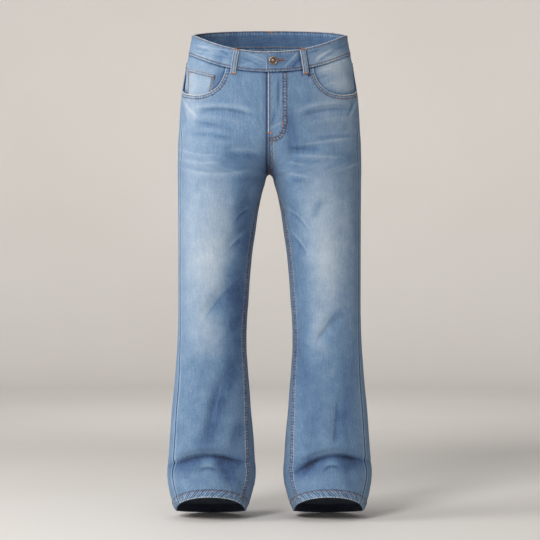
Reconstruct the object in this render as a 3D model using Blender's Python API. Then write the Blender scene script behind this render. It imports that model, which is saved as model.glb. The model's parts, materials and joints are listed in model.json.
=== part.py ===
"""Bootcut jeans, empty, standing open in the shape of a general figure.

Front faces -Y, the wearer's left is +X, +Z is up. The cloth is worked out with heights
from the level of the side hems and then moved so that the origin is the middle of the waist.
Every cloth piece is a thin wall on one shared surface: surface(side, angle, height, depth).
The angle runs round one leg or one half of the hips: 0 at the outside, minus to the front,
plus to the back, and half a turn at the inside leg.
"""

import math

import bpy
import numpy as np

# ---------------------------------------------------------------- sizes, in metres
GAP = 0.0003  # between two pieces at a seam
DENIM = 0.0016  # one layer of cloth with its finish
HEM_THICK = 0.0030  # turned-up hem, three thin layers
HEM_HEIGHT = 0.018
WAIST = 1.0690  # top of the waistband at the sides
BAND_HEIGHT = 0.0455
SEAM = WAIST - BAND_HEIGHT  # waist seam at the sides
BAND_GAP = 0.0008  # its foot above the panels: the two bend at different points
BAND_THICK = 0.0026
BAND_PROUD = 0.0005  # waistband outside the panels' surface
FRONT_DIP = 0.047  # the waist is this much lower at the front
BACK_RISE = 0.024  # and this much higher at the back
DIP_ROUND = 2.2  # how round the dip is
DIP_FROM = 0.800  # height where the dip and the rise begin
HEM_ARCH = 0.041  # front of the hem above its sides
HEM_DROP = 0.015  # back of the hem below its sides
HEM_FADE = 0.130
CROTCH = 0.757
FRONT_CURVE = 0.120  # height over which the two legs grow into one at the front
BACK_CURVE = 0.160
INSIDE_SQUARE = 3.2  # how flat the inside of the leg is at the crotch
SIDE_SEAM = math.radians(7.0)  # side seam in front of the widest line at the hips
SIDE_THIGH = math.radians(18.0)  # this much more at the thigh
SIDE_CALF = math.radians(7.0)  # and this much more at the calf
INSIDE_SEAM = math.radians(21.0)  # inside seam in front of the innermost line
INSIDE_CALF = math.radians(10.0)  # this much more at the calf
FLY_LAP = 0.0035  # left front over right front
FLY_PUSH = 0.0020  # right front sunk under it
FLY_FROM = 0.825
MOUTH_SHARE = 0.447  # where the pocket mouth leaves the waist seam
FACING_SHARE = 0.400
FACING_THICK = 0.0014
FACING_DEPTH = {1: 0.0030, -1: 0.0047}  # left, and right with the coin pocket over it
COIN_THICK = 0.0014
COIN_CLEAR = 0.0004
YOKE_SIDE = 0.027  # yoke height at the side seam
YOKE_CENTRE = 0.067  # and at the centre back
POCKET_CLEAR = 0.0007
LOOP_WIDTH = 0.012
LOOP_THICK = 0.0018
LOOP_CLEAR = 0.0006
LOOP_BOW = 0.0028
LOOP_TAIL = 0.0115  # loop below the waist seam
OVER_END = -0.0068  # left end of the waistband, past the centre
UNDER_END = 0.0360  # right end, under the left end
OVER_LIFT = 0.0032
OVER_FLAT = 0.0410  # the left end is lifted up to here
OVER_BLEND = 0.0720
END_RADIUS = 0.006
BUTTON_X = 0.0086
BUTTON_UP = 0.0250  # button centre above the waist seam
BUTTON_RADIUS = 0.0097
HOLE_END = 0.0330

# One row a height: the outside of the leg, the inside, the front, the back, the widest line
# and how square the ring is. The inside is nought from the crotch up.
SECTIONS = np.array(
    (
        # height, outer, inner, front, back, middle, square
        (0.000, 0.2100, 0.0540, -0.0980, 0.1000, 0.0000, 2.15),
        (0.011, 0.2165, 0.0490, -0.0965, 0.0990, 0.0000, 2.15),
        (0.025, 0.2203, 0.0436, -0.0945, 0.0975, 0.0000, 2.15),
        (0.038, 0.2240, 0.0396, -0.0920, 0.0960, 0.0010, 2.15),
        (0.052, 0.2266, 0.0359, -0.0890, 0.0940, 0.0015, 2.15),
        (0.065, 0.2288, 0.0328, -0.0860, 0.0920, 0.0020, 2.15),
        (0.092, 0.2303, 0.0309, -0.0815, 0.0895, 0.0030, 2.15),
        (0.113, 0.2283, 0.0326, -0.0800, 0.0880, 0.0030, 2.15),
        (0.169, 0.2240, 0.0361, -0.0765, 0.0850, 0.0035, 2.15),
        (0.223, 0.2203, 0.0413, -0.0730, 0.0820, 0.0040, 2.15),
        (0.277, 0.2150, 0.0450, -0.0700, 0.0790, 0.0040, 2.15),
        (0.331, 0.2105, 0.0493, -0.0690, 0.0760, 0.0030, 2.15),
        (0.385, 0.2070, 0.0516, -0.0700, 0.0740, 0.0010, 2.15),
        (0.425, 0.2055, 0.0506, -0.0715, 0.0750, 0.0000, 2.15),
        (0.466, 0.2050, 0.0476, -0.0750, 0.0790, 0.0000, 2.15),
        (0.547, 0.2052, 0.0418, -0.0840, 0.0900, 0.0020, 2.15),
        (0.628, 0.2055, 0.0316, -0.0950, 0.1020, 0.0040, 2.15),
        (0.709, 0.2060, 0.0182, -0.1060, 0.1150, 0.0060, 2.15),
        (0.736, 0.2063, 0.0113, -0.1095, 0.1190, 0.0070, 2.15),
        (0.753, 0.2066, 0.0066, -0.1115, 0.1215, 0.0080, 2.15),
        (0.757, 0.2067, 0.0000, -0.1120, 0.1220, 0.0080, 2.15),
        (0.812, 0.2060, 0.0000, -0.1165, 0.1290, 0.0060, 2.20),
        (0.853, 0.2038, 0.0000, -0.1180, 0.1310, 0.0040, 2.25),
        (0.907, 0.2002, 0.0000, -0.1180, 0.1285, 0.0020, 2.25),
        (0.947, 0.1958, 0.0000, -0.1165, 0.1240, 0.0010, 2.25),
        (0.974, 0.1913, 0.0000, -0.1150, 0.1205, 0.0000, 2.25),
        (1.001, 0.1866, 0.0000, -0.1130, 0.1170, 0.0000, 2.20),
        (1.027, 0.1812, 0.0000, -0.1110, 0.1140, 0.0000, 2.20),
        (1.051, 0.1767, 0.0000, -0.1100, 0.1120, 0.0000, 2.20),
        (1.069, 0.1735, 0.0000, -0.1095, 0.1110, 0.0000, 2.20),
    )
)

# The pocket mouth: share across the front panel from the centre, and true height.
MOUTH = np.array(
    (
        # share, height
        (0.447, 0.9875),
        (0.465, 0.9718),
        (0.501, 0.9532),
        (0.548, 0.9413),
        (0.616, 0.9333),
        (0.705, 0.9299),
        (0.829, 0.9328),
        (1.000, 0.9436),
    )
)

# The larger folds. Side: 1 is the wearer's left. Face: -1 is the front. Both ends of the
# fold as distance from the centre line and height, then how far its middle bows up,
# its half width and how deep it sinks (minus stands out).
FOLDS = (
    # side, face, x start, z start, x end, z end, bow, width, depth
    (-1, -1, 0.2230, 0.1100, 0.0600, 0.1200, 0.0190, 0.0130, 0.0050),
    (-1, -1, 0.2150, 0.0880, 0.0700, 0.0980, 0.0160, 0.0150, -0.0030),
    (-1, -1, 0.1230, 0.1280, 0.0740, 0.0560, 0.0000, 0.0150, 0.0030),
    (1, -1, 0.2230, 0.1160, 0.0480, 0.0960, 0.0270, 0.0130, 0.0050),
    (1, -1, 0.2150, 0.0920, 0.0600, 0.0800, 0.0200, 0.0150, -0.0030),
    (1, -1, 0.1450, 0.2650, 0.1450, 0.1450, 0.0000, 0.0150, 0.0025),
    (-1, -1, 0.1250, 0.2650, 0.1250, 0.1500, 0.0000, 0.0170, 0.0020),
    (-1, -1, 0.1500, 0.4280, 0.0720, 0.5280, 0.0040, 0.0170, 0.0030),
    (1, -1, 0.0960, 0.3720, 0.1650, 0.4480, 0.0040, 0.0170, 0.0028),
    (-1, -1, 0.0300, 0.6950, 0.0900, 0.6420, 0.0030, 0.0150, 0.0024),
    (-1, -1, 0.0420, 0.6400, 0.1000, 0.5830, 0.0030, 0.0150, 0.0022),
    (1, -1, 0.0250, 0.6950, 0.1000, 0.6240, 0.0030, 0.0150, 0.0024),
    (1, -1, 0.0420, 0.6420, 0.0900, 0.5730, 0.0030, 0.0150, 0.0022),
    (-1, -1, 0.0150, 0.7880, 0.1100, 0.8020, 0.0080, 0.0140, 0.0030),
    (1, -1, 0.0300, 0.7850, 0.1250, 0.8130, 0.0060, 0.0140, 0.0026),
    (-1, -1, 0.1700, 0.8860, 0.0300, 0.8740, 0.0110, 0.0150, 0.0020),
    (1, -1, 0.1900, 0.9020, 0.0650, 0.8720, 0.0070, 0.0150, 0.0022),
    (-1, 1, 0.2200, 0.1300, 0.0450, 0.1120, -0.0150, 0.0140, 0.0050),
    (-1, 1, 0.2100, 0.0850, 0.0550, 0.0760, -0.0120, 0.0150, -0.0030),
    (-1, 1, 0.1900, 0.1850, 0.0500, 0.1620, -0.0120, 0.0150, 0.0028),
    (1, 1, 0.2200, 0.1200, 0.0450, 0.1240, -0.0170, 0.0140, 0.0048),
    (1, 1, 0.2100, 0.0780, 0.0550, 0.0820, -0.0120, 0.0150, -0.0030),
    (1, 1, 0.2050, 0.1700, 0.0600, 0.1850, -0.0110, 0.0150, 0.0030),
    (-1, 1, 0.1950, 0.4350, 0.0600, 0.4550, -0.0150, 0.0150, 0.0032),
    (-1, 1, 0.0550, 0.3980, 0.1800, 0.3850, -0.0120, 0.0160, 0.0026),
    (1, 1, 0.1950, 0.4500, 0.0600, 0.4380, -0.0160, 0.0150, 0.0032),
    (1, 1, 0.0600, 0.3850, 0.1850, 0.4030, -0.0120, 0.0160, 0.0024),
    (-1, 1, 0.0300, 0.7180, 0.1850, 0.7780, -0.0180, 0.0170, 0.0034),
    (-1, 1, 0.0350, 0.6700, 0.1600, 0.7180, -0.0160, 0.0160, 0.0026),
    (1, 1, 0.0280, 0.7240, 0.1900, 0.7740, -0.0200, 0.0170, 0.0034),
    (1, 1, 0.0400, 0.6620, 0.1500, 0.7160, -0.0150, 0.0160, 0.0026),
)

# Heights of the rows that every panel shares, then the share of the rows above them.
ROWS = np.array(
    (0.000, 0.009, 0.018, 0.022, 0.034, 0.047, 0.059, 0.070, 0.081, 0.092, 0.103)
    + (0.114, 0.125, 0.138, 0.156, 0.180, 0.215, 0.260, 0.305, 0.350, 0.390, 0.430)
    + (0.470, 0.515, 0.560, 0.605, 0.650, 0.690, 0.720, 0.740, 0.751, CROTCH)
    + (0.7585, 0.762, 0.769, 0.779, 0.793, 0.812, 0.833, 0.857, 0.885, 0.910)
)
FRONT_SHARES = np.array(
    (0.0, 0.025, 0.050, 0.11, 0.19, 0.28, 0.370, MOUTH_SHARE)
    + (0.470, 0.505, 0.560, 0.635, 0.720, 0.810, 0.905, 1.0)
)
BACK_SHARES = np.concatenate([np.linspace(0.0, 0.22, 5)[:-1], np.linspace(0.22, 1.0, 10)])
# One column of each panel keeps a steady distance from the centre line, so that the columns
# don't lean where the crotch curve runs out.
STEADY_SHARE = {-1: 0.28, 1: 0.22}
STEADY_X = 0.058
STEADY_MORE = 0.030  # and this much more below the thigh
TOP_STEPS = 6


def ease(share):
    """Nought to one with a soft start and end."""
    share = np.clip(share, 0.0, 1.0)
    return share * share * (3.0 - 2.0 * share)


def smooth_column(height, column):
    """A column of SECTIONS at this height: a smooth line that never overshoots its rows."""
    heights = SECTIONS[:, 0]
    values = SECTIONS[:, column]
    steps = np.diff(heights)
    slopes = np.diff(values) / steps
    before, after = slopes[:-1], slopes[1:]
    same_way = before * after > 0.0
    middle = np.where(same_way, 2.0 * before * after / np.where(same_way, before + after, 1.0), 0.0)
    tangents = np.concatenate([slopes[:1], middle, slopes[-1:]])
    row = np.clip(np.searchsorted(heights, height, side="right") - 1, 0, len(steps) - 1)
    share = (height - heights[row]) / steps[row]
    start = values[row] + share * steps[row] * tangents[row]
    blend = share * share * (3.0 - 2.0 * share)
    end = values[row + 1] - (1.0 - share) * steps[row] * tangents[row + 1]
    return start * (1.0 - blend) + end * blend


def half_ring(height, face):
    """The front (-1) or back (1) half of a ring: where its middle is, its half widths outward
    and inward, the middle line, its depth, and how square its outer and inner sides are."""
    outer = smooth_column(height, 1)
    inner = smooth_column(height, 2)
    middle = smooth_column(height, 5)
    square = smooth_column(height, 6)
    depth = np.where(face < 0, middle - smooth_column(height, 3), smooth_column(height, 4) - middle)
    above = (height - CROTCH) / np.where(face < 0, FRONT_CURVE, BACK_CURVE)
    closing = (1.0 - np.clip(above, 0.0, 1.0) ** 1.5) ** 2
    joined = outer * closing / (1.0 + closing)
    parted = outer / 2.0 + inner / 2.0 * ease((CROTCH - height) / 0.080)
    centre = np.where(height >= CROTCH, joined, parted)
    inward = np.where(height >= CROTCH, outer - joined, parted - inner)
    near_crotch = np.where(height >= CROTCH, (height - CROTCH) / 0.100, (CROTCH - height) / 0.150)
    inner_square = INSIDE_SQUARE + (square - INSIDE_SQUARE) * ease(near_crotch)
    return centre, outer - centre, inward, middle, depth, square, inner_square


def power(value, exponent):
    return np.sign(value) * np.abs(value) ** exponent


def ring(angle, height):
    """The bare surface, before folds. Rows dip at the front of the waist and arch at the hem."""
    face = np.where(np.sin(angle) < 0.0, -1, 1)
    centre, outward, inward, middle, depth, square, inner_square = half_ring(height, face)
    turned_in = np.cos(angle) < 0.0
    across = power(np.cos(angle), 2.0 / np.where(turned_in, inner_square, square))
    across = across * np.where(turned_in, inward, outward)
    out = power(np.sin(angle), 2.0 / square)
    waist = ease((height - DIP_FROM) / (SEAM - DIP_FROM))
    hem = 1.0 - ease(height / HEM_FADE)
    size = np.abs(out)
    front_lift = size * HEM_ARCH * hem - size**DIP_ROUND * FRONT_DIP * waist
    back_lift = size * (BACK_RISE * waist - HEM_DROP * hem)
    lift = np.where(face < 0, front_lift, back_lift)
    return np.stack([centre + across, middle + depth * out, height + lift], axis=-1)


def fold_offset(side, angle, point):
    """How far the folds move the cloth out at these points."""
    frontness = -np.sin(angle)
    total = np.zeros(angle.shape)
    for fold_side, face, x_start, z_start, x_end, z_end, bow, width, sink in FOLDS:
        if fold_side != side:
            continue
        length = math.hypot(x_end - x_start, z_end - z_start)
        along_x, along_z = (x_end - x_start) / length, (z_end - z_start) / length
        from_x, from_z = point[..., 0] - x_start, point[..., 2] - z_start
        share = (from_x * along_x + from_z * along_z) / length
        upward = 1.0 if along_x > 0.0 else -1.0
        away = (from_z * along_x - from_x * along_z) * upward
        away = away - bow * 4.0 * share * (1.0 - share)
        near = (away / width) ** 2
        ends = ease(np.minimum(share, 1.0 - share) / 0.28)
        facing = ease((-face * frontness + 0.25) / 0.5)
        total -= sink * facing * ends * np.exp(-near) * (1.0 - 0.7 * near)
    return total


def surface(side, angle, height, depth=0.0, apart=GAP / 2.0):
    """Points of the cloth for one side of the body, sunk by depth below its outside."""
    angle, height, depth = np.broadcast_arrays(angle, height, depth)
    point = ring(angle, height)
    turn = ring(angle + 0.003, height) - ring(angle - 0.003, height)
    rise = ring(angle, height + 0.0003) - ring(angle, height - 0.0003)
    normal = np.cross(turn, rise)
    on_centre = (np.abs(point[..., 0]) < 1e-5) & (height > CROTCH - 1e-6)
    normal[..., 0] = np.where(on_centre, 0.0, normal[..., 0])
    at_crotch = on_centre & (height < CROTCH + 1e-6)
    normal = np.where(at_crotch[..., None], np.array((0.0, 0.0, -1.0)), normal)
    normal = normal / np.linalg.norm(normal, axis=-1, keepdims=True)
    point = point + normal * (fold_offset(side, angle, point) - depth)[..., None]
    point[..., 0] = (point[..., 0] + apart) * side
    return point


def angle_at(x, height, face):
    """The angle at which the front (-1) or back (1) half of the ring is this far from the centre."""
    centre, outward, inward, _, _, square, inner_square = half_ring(height, face)
    away = x - centre
    share = np.clip(away / np.where(away < 0.0, inward, outward), -1.0, 1.0)
    exponent = np.where(away < 0.0, inner_square, square) / 2.0
    return face * np.arccos(np.clip(power(share, exponent), -1.0, 1.0))


def seam_step(angle, height):
    """Half a seam gap as an angle."""
    ahead = ring(angle + 0.002, height) - ring(angle - 0.002, height)
    return GAP / 2.0 * 0.004 / np.linalg.norm(ahead, axis=-1)


def side_angle(height, face):
    """The panel's edge at the side seam."""
    thigh = SIDE_THIGH * ease((0.905 - height) / 0.100)
    calf = SIDE_CALF * ease((0.450 - height) / 0.200)
    angle = -(SIDE_SEAM + thigh + calf)
    return angle + face * seam_step(angle, height)


def centre_angle(height, face, lap=0.0):
    """The panel's edge at the fly or centre back, and below the crotch at the inside seam."""
    upper = angle_at(-lap, np.maximum(height, CROTCH), face)
    turned = math.pi - INSIDE_SEAM * ease((CROTCH - height) / 0.10)
    turned = turned - INSIDE_CALF * ease((0.340 - height) / 0.250)
    lower = np.where(face < 0, -turned, 2.0 * math.pi - turned)
    lower = lower - face * seam_step(lower, height)
    return np.where(height > CROTCH + 1e-6, upper, lower)


def spread(start, stop, heights, shares):
    """Angles between two edges at shares of the way measured along the cloth."""
    start, stop, heights, shares = np.broadcast_arrays(start, stop, heights, shares)
    steps = np.linspace(0.0, 1.0, 81)
    angles = start[..., None] + (stop - start)[..., None] * steps
    points = ring(angles, np.broadcast_to(heights[..., None], angles.shape))
    lengths = np.linalg.norm(np.diff(points, axis=-2), axis=-1)
    run = np.concatenate([np.zeros(lengths.shape[:-1] + (1,)), np.cumsum(lengths, axis=-1)], axis=-1)
    run = run / run[..., -1:]
    found = np.empty(start.shape)
    for place in np.ndindex(start.shape):
        found[place] = np.interp(shares[place], run[place], angles[place])
    return found


def panel_angles(start, stop, heights, shares, face):
    """Angles of a panel's columns, with its steady column where it belongs."""
    steady_x = STEADY_X + STEADY_MORE * ease((0.70 - heights) / 0.30)
    steady = angle_at(steady_x, heights, face)
    steady_share = STEADY_SHARE[face]
    near = spread(start, steady, heights, np.clip(shares / steady_share, 0.0, 1.0))
    far = spread(steady, stop, heights, np.clip((shares - steady_share) / (1.0 - steady_share), 0.0, 1.0))
    return np.where(shares < steady_share, near, far)


def level_for(true_height, angle):
    """The height that the surface function needs to reach a true height at this angle."""
    levels = np.linspace(0.86, SEAM, 80)
    reached = ring(np.full(80, angle), levels)[:, 2]
    return float(np.interp(true_height, reached, levels))


def mouth_level(share):
    """Height of the pocket mouth at a share across the front panel; the waist seam before it."""
    if share <= MOUTH_SHARE:
        return SEAM
    true_height = float(np.interp(share, MOUTH[:, 0], MOUTH[:, 1]))
    angle = share_angles(np.array([share]), np.array([0.970]))[0]
    return level_for(true_height, angle)


def new_piece(name, points, faces, material):
    """A closed body with its faces turned out, shaded smooth apart from its edges."""
    corners = points[faces]
    if np.linalg.det(corners).sum() < 0.0:
        faces = faces[:, ::-1]
    mesh = bpy.data.meshes.new(name)
    mesh.from_pydata(points.tolist(), [], faces.tolist())
    mesh.update()
    mesh.polygons.foreach_set("use_smooth", [True] * len(mesh.polygons))
    mesh.set_sharp_from_angle(angle=math.radians(50.0))
    piece = bpy.data.objects.new(name, mesh)
    piece.data.materials.append(material)
    bpy.context.scene.collection.objects.link(piece)
    return piece


def wall(name, outside, inside, material):
    """A cloth wall between two grids of points with the same rows and columns."""
    rows, columns = outside.shape[:2]
    number = np.arange(rows * columns).reshape(rows, columns)
    low, right = number[:-1, :-1].ravel(), number[:-1, 1:].ravel()
    up, far = number[1:, :-1].ravel(), number[1:, 1:].ravel()
    skin = np.concatenate([np.stack([low, right, far], 1), np.stack([low, far, up], 1)])
    rim = np.concatenate([number[0], number[1:, -1], number[-1, -2::-1], number[-2:0:-1, 0]])
    ahead = np.roll(rim, -1)
    back = rows * columns
    edge = np.concatenate(
        [np.stack([ahead, rim, rim + back], 1), np.stack([ahead, rim + back, ahead + back], 1)]
    )
    faces = np.concatenate([skin, skin[:, ::-1] + back, edge])
    points = np.concatenate([outside.reshape(-1, 3), inside.reshape(-1, 3)])
    return new_piece(name, points, faces, material)


def sheet(name, side, angles, heights, depth, thick, material, apart=GAP / 2.0):
    """A cloth piece on the shared surface, from grids of angles and heights."""
    outside = surface(side, angles, heights, depth, apart)
    inside = surface(side, angles, heights, depth + thick, apart)
    return wall(name, outside, inside, material)


def panel_heights(tops):
    """The shared rows, then even rows up to each column's own top edge."""
    lower = np.repeat(ROWS[:, None], len(tops), axis=1)
    steps = np.arange(1, TOP_STEPS + 1)[:, None] / TOP_STEPS
    upper = ROWS[-1] + (np.array(tops)[None, :] - ROWS[-1]) * steps
    return np.concatenate([lower, upper])


def panel_thickness(heights):
    return DENIM + (HEM_THICK - DENIM) * (1.0 - ease((heights - HEM_HEIGHT) / 0.004))


def front_panel(side, material):
    """One front, from the waist seam and the pocket mouth to the hem."""
    heights = panel_heights([mouth_level(share) for share in FRONT_SHARES])
    over = ease((heights - FLY_FROM) / 0.030)
    lap = FLY_LAP * over if side > 0 else 0.0 * over
    start = centre_angle(heights, -1, lap)
    stop = side_angle(heights, -1)
    angles = panel_angles(start, stop, heights, FRONT_SHARES, -1)
    depth = np.zeros(heights.shape)
    if side < 0:
        inward = ring(angles, heights)[..., 0]
        sunk = ease((heights - FLY_FROM + 0.020) / 0.018)
        depth = FLY_PUSH * sunk * (1.0 - ease((inward - 0.0065) / 0.012))
    name = "front_left" if side > 0 else "front_right"
    return sheet(name, side, angles, heights, depth, panel_thickness(heights), material)


def yoke_line(share):
    """Height of the yoke seam at a share across the back from the centre."""
    return SEAM - YOKE_CENTRE + (YOKE_CENTRE - YOKE_SIDE) * share


def back_panel(side, material):
    """One back, from the yoke seam to the hem."""
    heights = panel_heights([yoke_line(share) - GAP for share in BACK_SHARES])
    start = centre_angle(heights, 1)
    stop = side_angle(heights, 1)
    angles = panel_angles(start, stop, heights, BACK_SHARES, 1)
    name = "back_left" if side > 0 else "back_right"
    return sheet(name, side, angles, heights, 0.0, panel_thickness(heights), material)


def yoke(side, material):
    """The piece between the waistband and the back panel."""
    rows = np.linspace(0.0, 1.0, 5)[:, None]
    bottom = yoke_line(BACK_SHARES)[None, :]
    heights = bottom + (SEAM - bottom) * rows
    start = centre_angle(heights, 1)
    stop = side_angle(heights, 1)
    angles = panel_angles(start, stop, heights, BACK_SHARES, 1)
    name = "yoke_left" if side > 0 else "yoke_right"
    return sheet(name, side, angles, heights, 0.0, DENIM, material)


def facing_depth(side, shares, heights):
    """The facing is flush at the corner of the side and waist seams and sinks to the mouth."""
    across = (1.0 - shares) / (1.0 - MOUTH_SHARE)
    down = (SEAM - heights) / (SEAM - MOUTH[-1, 1])
    away = (np.abs(across) ** 2.4 + np.abs(down) ** 2.4) ** (1.0 / 2.4)
    return FACING_DEPTH[side] * ease((away - 0.20) / 0.66)


def share_angles(shares, heights):
    """Angles at shares across the front panel, measured at the hips."""
    start = angle_at(0.0, heights, -1)
    stop = side_angle(heights, -1)
    return panel_angles(start, stop, heights, shares, -1)


def pocket_facing(side, material):
    """The piece seen in the pocket mouth, on under the front panel."""
    shares = np.array((0.40, 0.447, 0.50, 0.55, 0.61, 0.68, 0.76, 0.84, 0.92, 1.0))
    scaled = MOUTH_SHARE + (shares - FACING_SHARE) * (1.0 - MOUTH_SHARE) / (1.0 - FACING_SHARE)
    bottoms = np.array([mouth_level(share + 1e-6) for share in scaled]) - 0.022
    rows = np.linspace(0.0, 1.0, 8)[:, None]
    heights = bottoms + (SEAM - bottoms) * rows
    shares = np.repeat(shares[None, :], len(rows), axis=0)
    depth = facing_depth(side, shares, heights)
    name = "pocket_facing_left" if side > 0 else "pocket_facing_right"
    return sheet(name, side, share_angles(shares, heights), heights, depth, FACING_THICK, material)


def coin_pocket(material):
    """The small pocket on the right facing, its foot under the front panel."""
    across = np.linspace(0.0, 1.0, 7)[None, :]
    down = np.linspace(0.0, 1.0, 8)[:, None]
    shares = (0.564 + 0.025 * down) + (0.360 - 0.074 * down) * across
    heights = (1.0018 - 0.0060 * across) - 0.064 * down
    depth = facing_depth(-1, shares, heights) - COIN_CLEAR - COIN_THICK
    return sheet("coin_pocket", -1, share_angles(shares, heights), heights, depth, COIN_THICK, material)


def back_pocket(side, material):
    """A plain patch pocket with a pointed foot."""
    across = np.linspace(-1.0, 1.0, 9)[None, :]
    down = np.linspace(0.0, 1.0, 9)[:, None]
    x = 0.101 + across * (0.066 - 0.006 * down)
    top = 0.953 + 0.007 * across
    foot = 0.802 + 0.022 * np.abs(across)
    heights = top + (foot - top) * down
    angles = angle_at(x, heights, 1)
    name = "back_pocket_left" if side > 0 else "back_pocket_right"
    return sheet(name, side, angles, heights, -POCKET_CLEAR - DENIM, DENIM, material)


def band_lift(x):
    """How far the waistband stands out: its left end lies over its right end."""
    return BAND_PROUD + (OVER_LIFT - BAND_PROUD) * (1.0 - ease((x - OVER_FLAT) / (OVER_BLEND - OVER_FLAT)))


def waistband(material):
    """One strip: from its left end over the button, round the back, to its right end."""
    near_end = (0.0, 0.0008, 0.0020, 0.0038, 0.0060)
    left_front = [OVER_END + step for step in near_end] + [0.006, 0.014, 0.022, 0.030, 0.041]
    left_front += [0.049, 0.057, 0.065, 0.074]
    right_front = [0.074, 0.060, 0.045, 0.030, 0.015, 0.0, -0.012, -0.024, -UNDER_END]
    turns = np.radians(np.linspace(-58.0, 90.0, 17))
    levels = np.array((0.0, 0.5, 1.0))
    columns = []
    for x in left_front:
        end = max(0.0, END_RADIUS - (x - OVER_END))
        cut = END_RADIUS - math.sqrt(END_RADIUS**2 - end**2)
        heights = SEAM + BAND_GAP + (BAND_HEIGHT - BAND_GAP - cut) * levels
        columns.append((1, angle_at(x, heights, -1), heights, band_lift(x)))
    straight = SEAM + BAND_GAP + (BAND_HEIGHT - BAND_GAP) * levels
    for turn in turns:
        columns.append((1, np.full(3, turn), straight, BAND_PROUD))
    for turn in turns[-2::-1]:
        columns.append((-1, np.full(3, turn), straight, BAND_PROUD))
    for x in right_front:
        lift = BAND_PROUD * ease((x - 0.0) / 0.06)
        columns.append((-1, angle_at(x, straight, -1), straight, lift))
    outside = []
    inside = []
    for side, angles, heights, lift in columns:
        outside.append(surface(side, angles, heights, -lift, 0.0))
        inside.append(surface(side, angles, heights, BAND_THICK - lift, 0.0))
    return wall("waistband", np.stack(outside, 1), np.stack(inside, 1), material)


def buttonhole_cutter(material):
    """The slot for the button's neck and its eye, through the left end of the waistband only."""
    x = np.concatenate([BUTTON_X + 0.0034 * np.linspace(-1.0, 0.9, 9), np.linspace(0.014, HOLE_END, 7)])
    eye = np.sqrt(np.maximum(0.0034**2 - (x - BUTTON_X) ** 2, 0.0))
    slot = np.where(x > BUTTON_X, 0.0009, 0.0)
    half = np.maximum(np.maximum(eye, slot), 0.0004)
    middle = SEAM + BUTTON_UP
    heights = np.stack([middle - half, middle + half])
    angles = angle_at(np.stack([x, x]), heights, -1)
    outside = surface(1, angles, heights, -0.0080, 0.0)
    inside = surface(1, angles, heights, -0.00045, 0.0)
    cutter = wall("buttonhole_cutter", outside, inside, material)
    cutter.hide_render = True
    cutter.display_type = "WIRE"
    return cutter


def belt_loop(name, side, foot_x, top_x, face, material):
    """A strip held at both ends, with room for a belt behind it."""
    bottom, top = SEAM - LOOP_TAIL, WAIST - 0.0004
    rows = np.array((0.0, 0.07, 0.16, 0.28, 0.42, 0.58, 0.72, 0.84, 0.93, 1.0))
    heights = bottom + (top - bottom) * rows
    centre_x = foot_x + (top_x - foot_x) * rows
    room = ease(np.minimum(rows, 1.0 - rows) / 0.30)
    lie = band_lift(top_x - LOOP_WIDTH) if face < 0 and side > 0 else BAND_PROUD
    out = lie + LOOP_CLEAR + LOOP_THICK + LOOP_BOW * room
    middle = surface(side, angle_at(centre_x, heights, face), heights, 0.0, 0.0)
    beside = surface(side, angle_at(centre_x + 0.001, heights, face), heights, 0.0, 0.0)
    above = surface(side, angle_at(centre_x, heights + 0.001, face), heights + 0.001, 0.0, 0.0)
    across = beside - middle
    across = across / np.linalg.norm(across, axis=-1, keepdims=True)
    normal = np.cross(across, above - middle)
    normal = normal / np.linalg.norm(normal, axis=-1, keepdims=True)
    outward = np.sign((normal[:, 1] * face)[:, None])
    normal = normal * np.where(outward == 0.0, 1.0, outward)
    steps = np.array((-0.5, 0.0, 0.5)) * LOOP_WIDTH
    centre = middle[:, None, :] + across[:, None, :] * steps[None, :, None]
    outside = centre + normal[:, None, :] * out[:, None, None]
    inside = centre + normal[:, None, :] * (out - LOOP_THICK)[:, None, None]
    return wall(name, outside, inside, material)


def button(material):
    """A turned tack button: neck through the buttonhole, ringed cap and a raised middle."""
    floor = 0.0007
    under = OVER_LIFT + 0.0006
    profile = (
        # radius, height above the bare surface
        (0.0, floor),
        (0.0024, floor),
        (0.0024, under),
        (BUTTON_RADIUS - 0.0009, under),
        (BUTTON_RADIUS, under + 0.0007),
        (BUTTON_RADIUS, under + 0.0014),
        (BUTTON_RADIUS - 0.0008, under + 0.0022),
        (BUTTON_RADIUS - 0.0022, under + 0.0024),
        (BUTTON_RADIUS - 0.0032, under + 0.0019),
        (0.0036, under + 0.0018),
        (0.0030, under + 0.0023),
        (0.0018, under + 0.0028),
        (0.0, under + 0.0030),
    )
    segments = 24
    height = np.array(SEAM + BUTTON_UP)
    angle = angle_at(np.array(BUTTON_X), height, -1)
    base = surface(1, angle, height, 0.0, 0.0)
    outward = surface(1, angle, height, -0.001, 0.0) - base
    outward = outward / np.linalg.norm(outward)
    across = np.cross(outward, np.array((0.0, 0.0, 1.0)))
    across = across / np.linalg.norm(across)
    upward = np.cross(across, outward)
    points = []
    faces = []
    for radius, out in profile:
        if radius == 0.0:
            points.append(base + outward * out)
            continue
        for step in range(segments):
            turn = 2.0 * math.pi * step / segments
            arm = across * math.cos(turn) + upward * math.sin(turn)
            points.append(base + outward * out + arm * radius)
    rings = len(profile) - 2
    last = len(points) - 1
    for step in range(segments):
        after = (step + 1) % segments
        faces.append((0, 1 + after, 1 + step))
        top = 1 + (rings - 1) * segments
        faces.append((last, top + step, top + after))
        for row in range(rings - 1):
            start = 1 + row * segments
            faces.append((start + step, start + after, start + segments + after))
            faces.append((start + step, start + segments + after, start + segments + step))
    return new_piece("button", np.array(points), np.array(faces), material)


def new_material(name, colour, metallic, roughness):
    material = bpy.data.materials.new(name)
    material.use_nodes = True
    shader = material.node_tree.nodes["Principled BSDF"]
    shader.inputs["Base Color"].default_value = (*colour, 1.0)
    shader.inputs["Metallic"].default_value = metallic
    shader.inputs["Roughness"].default_value = roughness
    material.diffuse_color = (*colour, 1.0)
    return material


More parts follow.
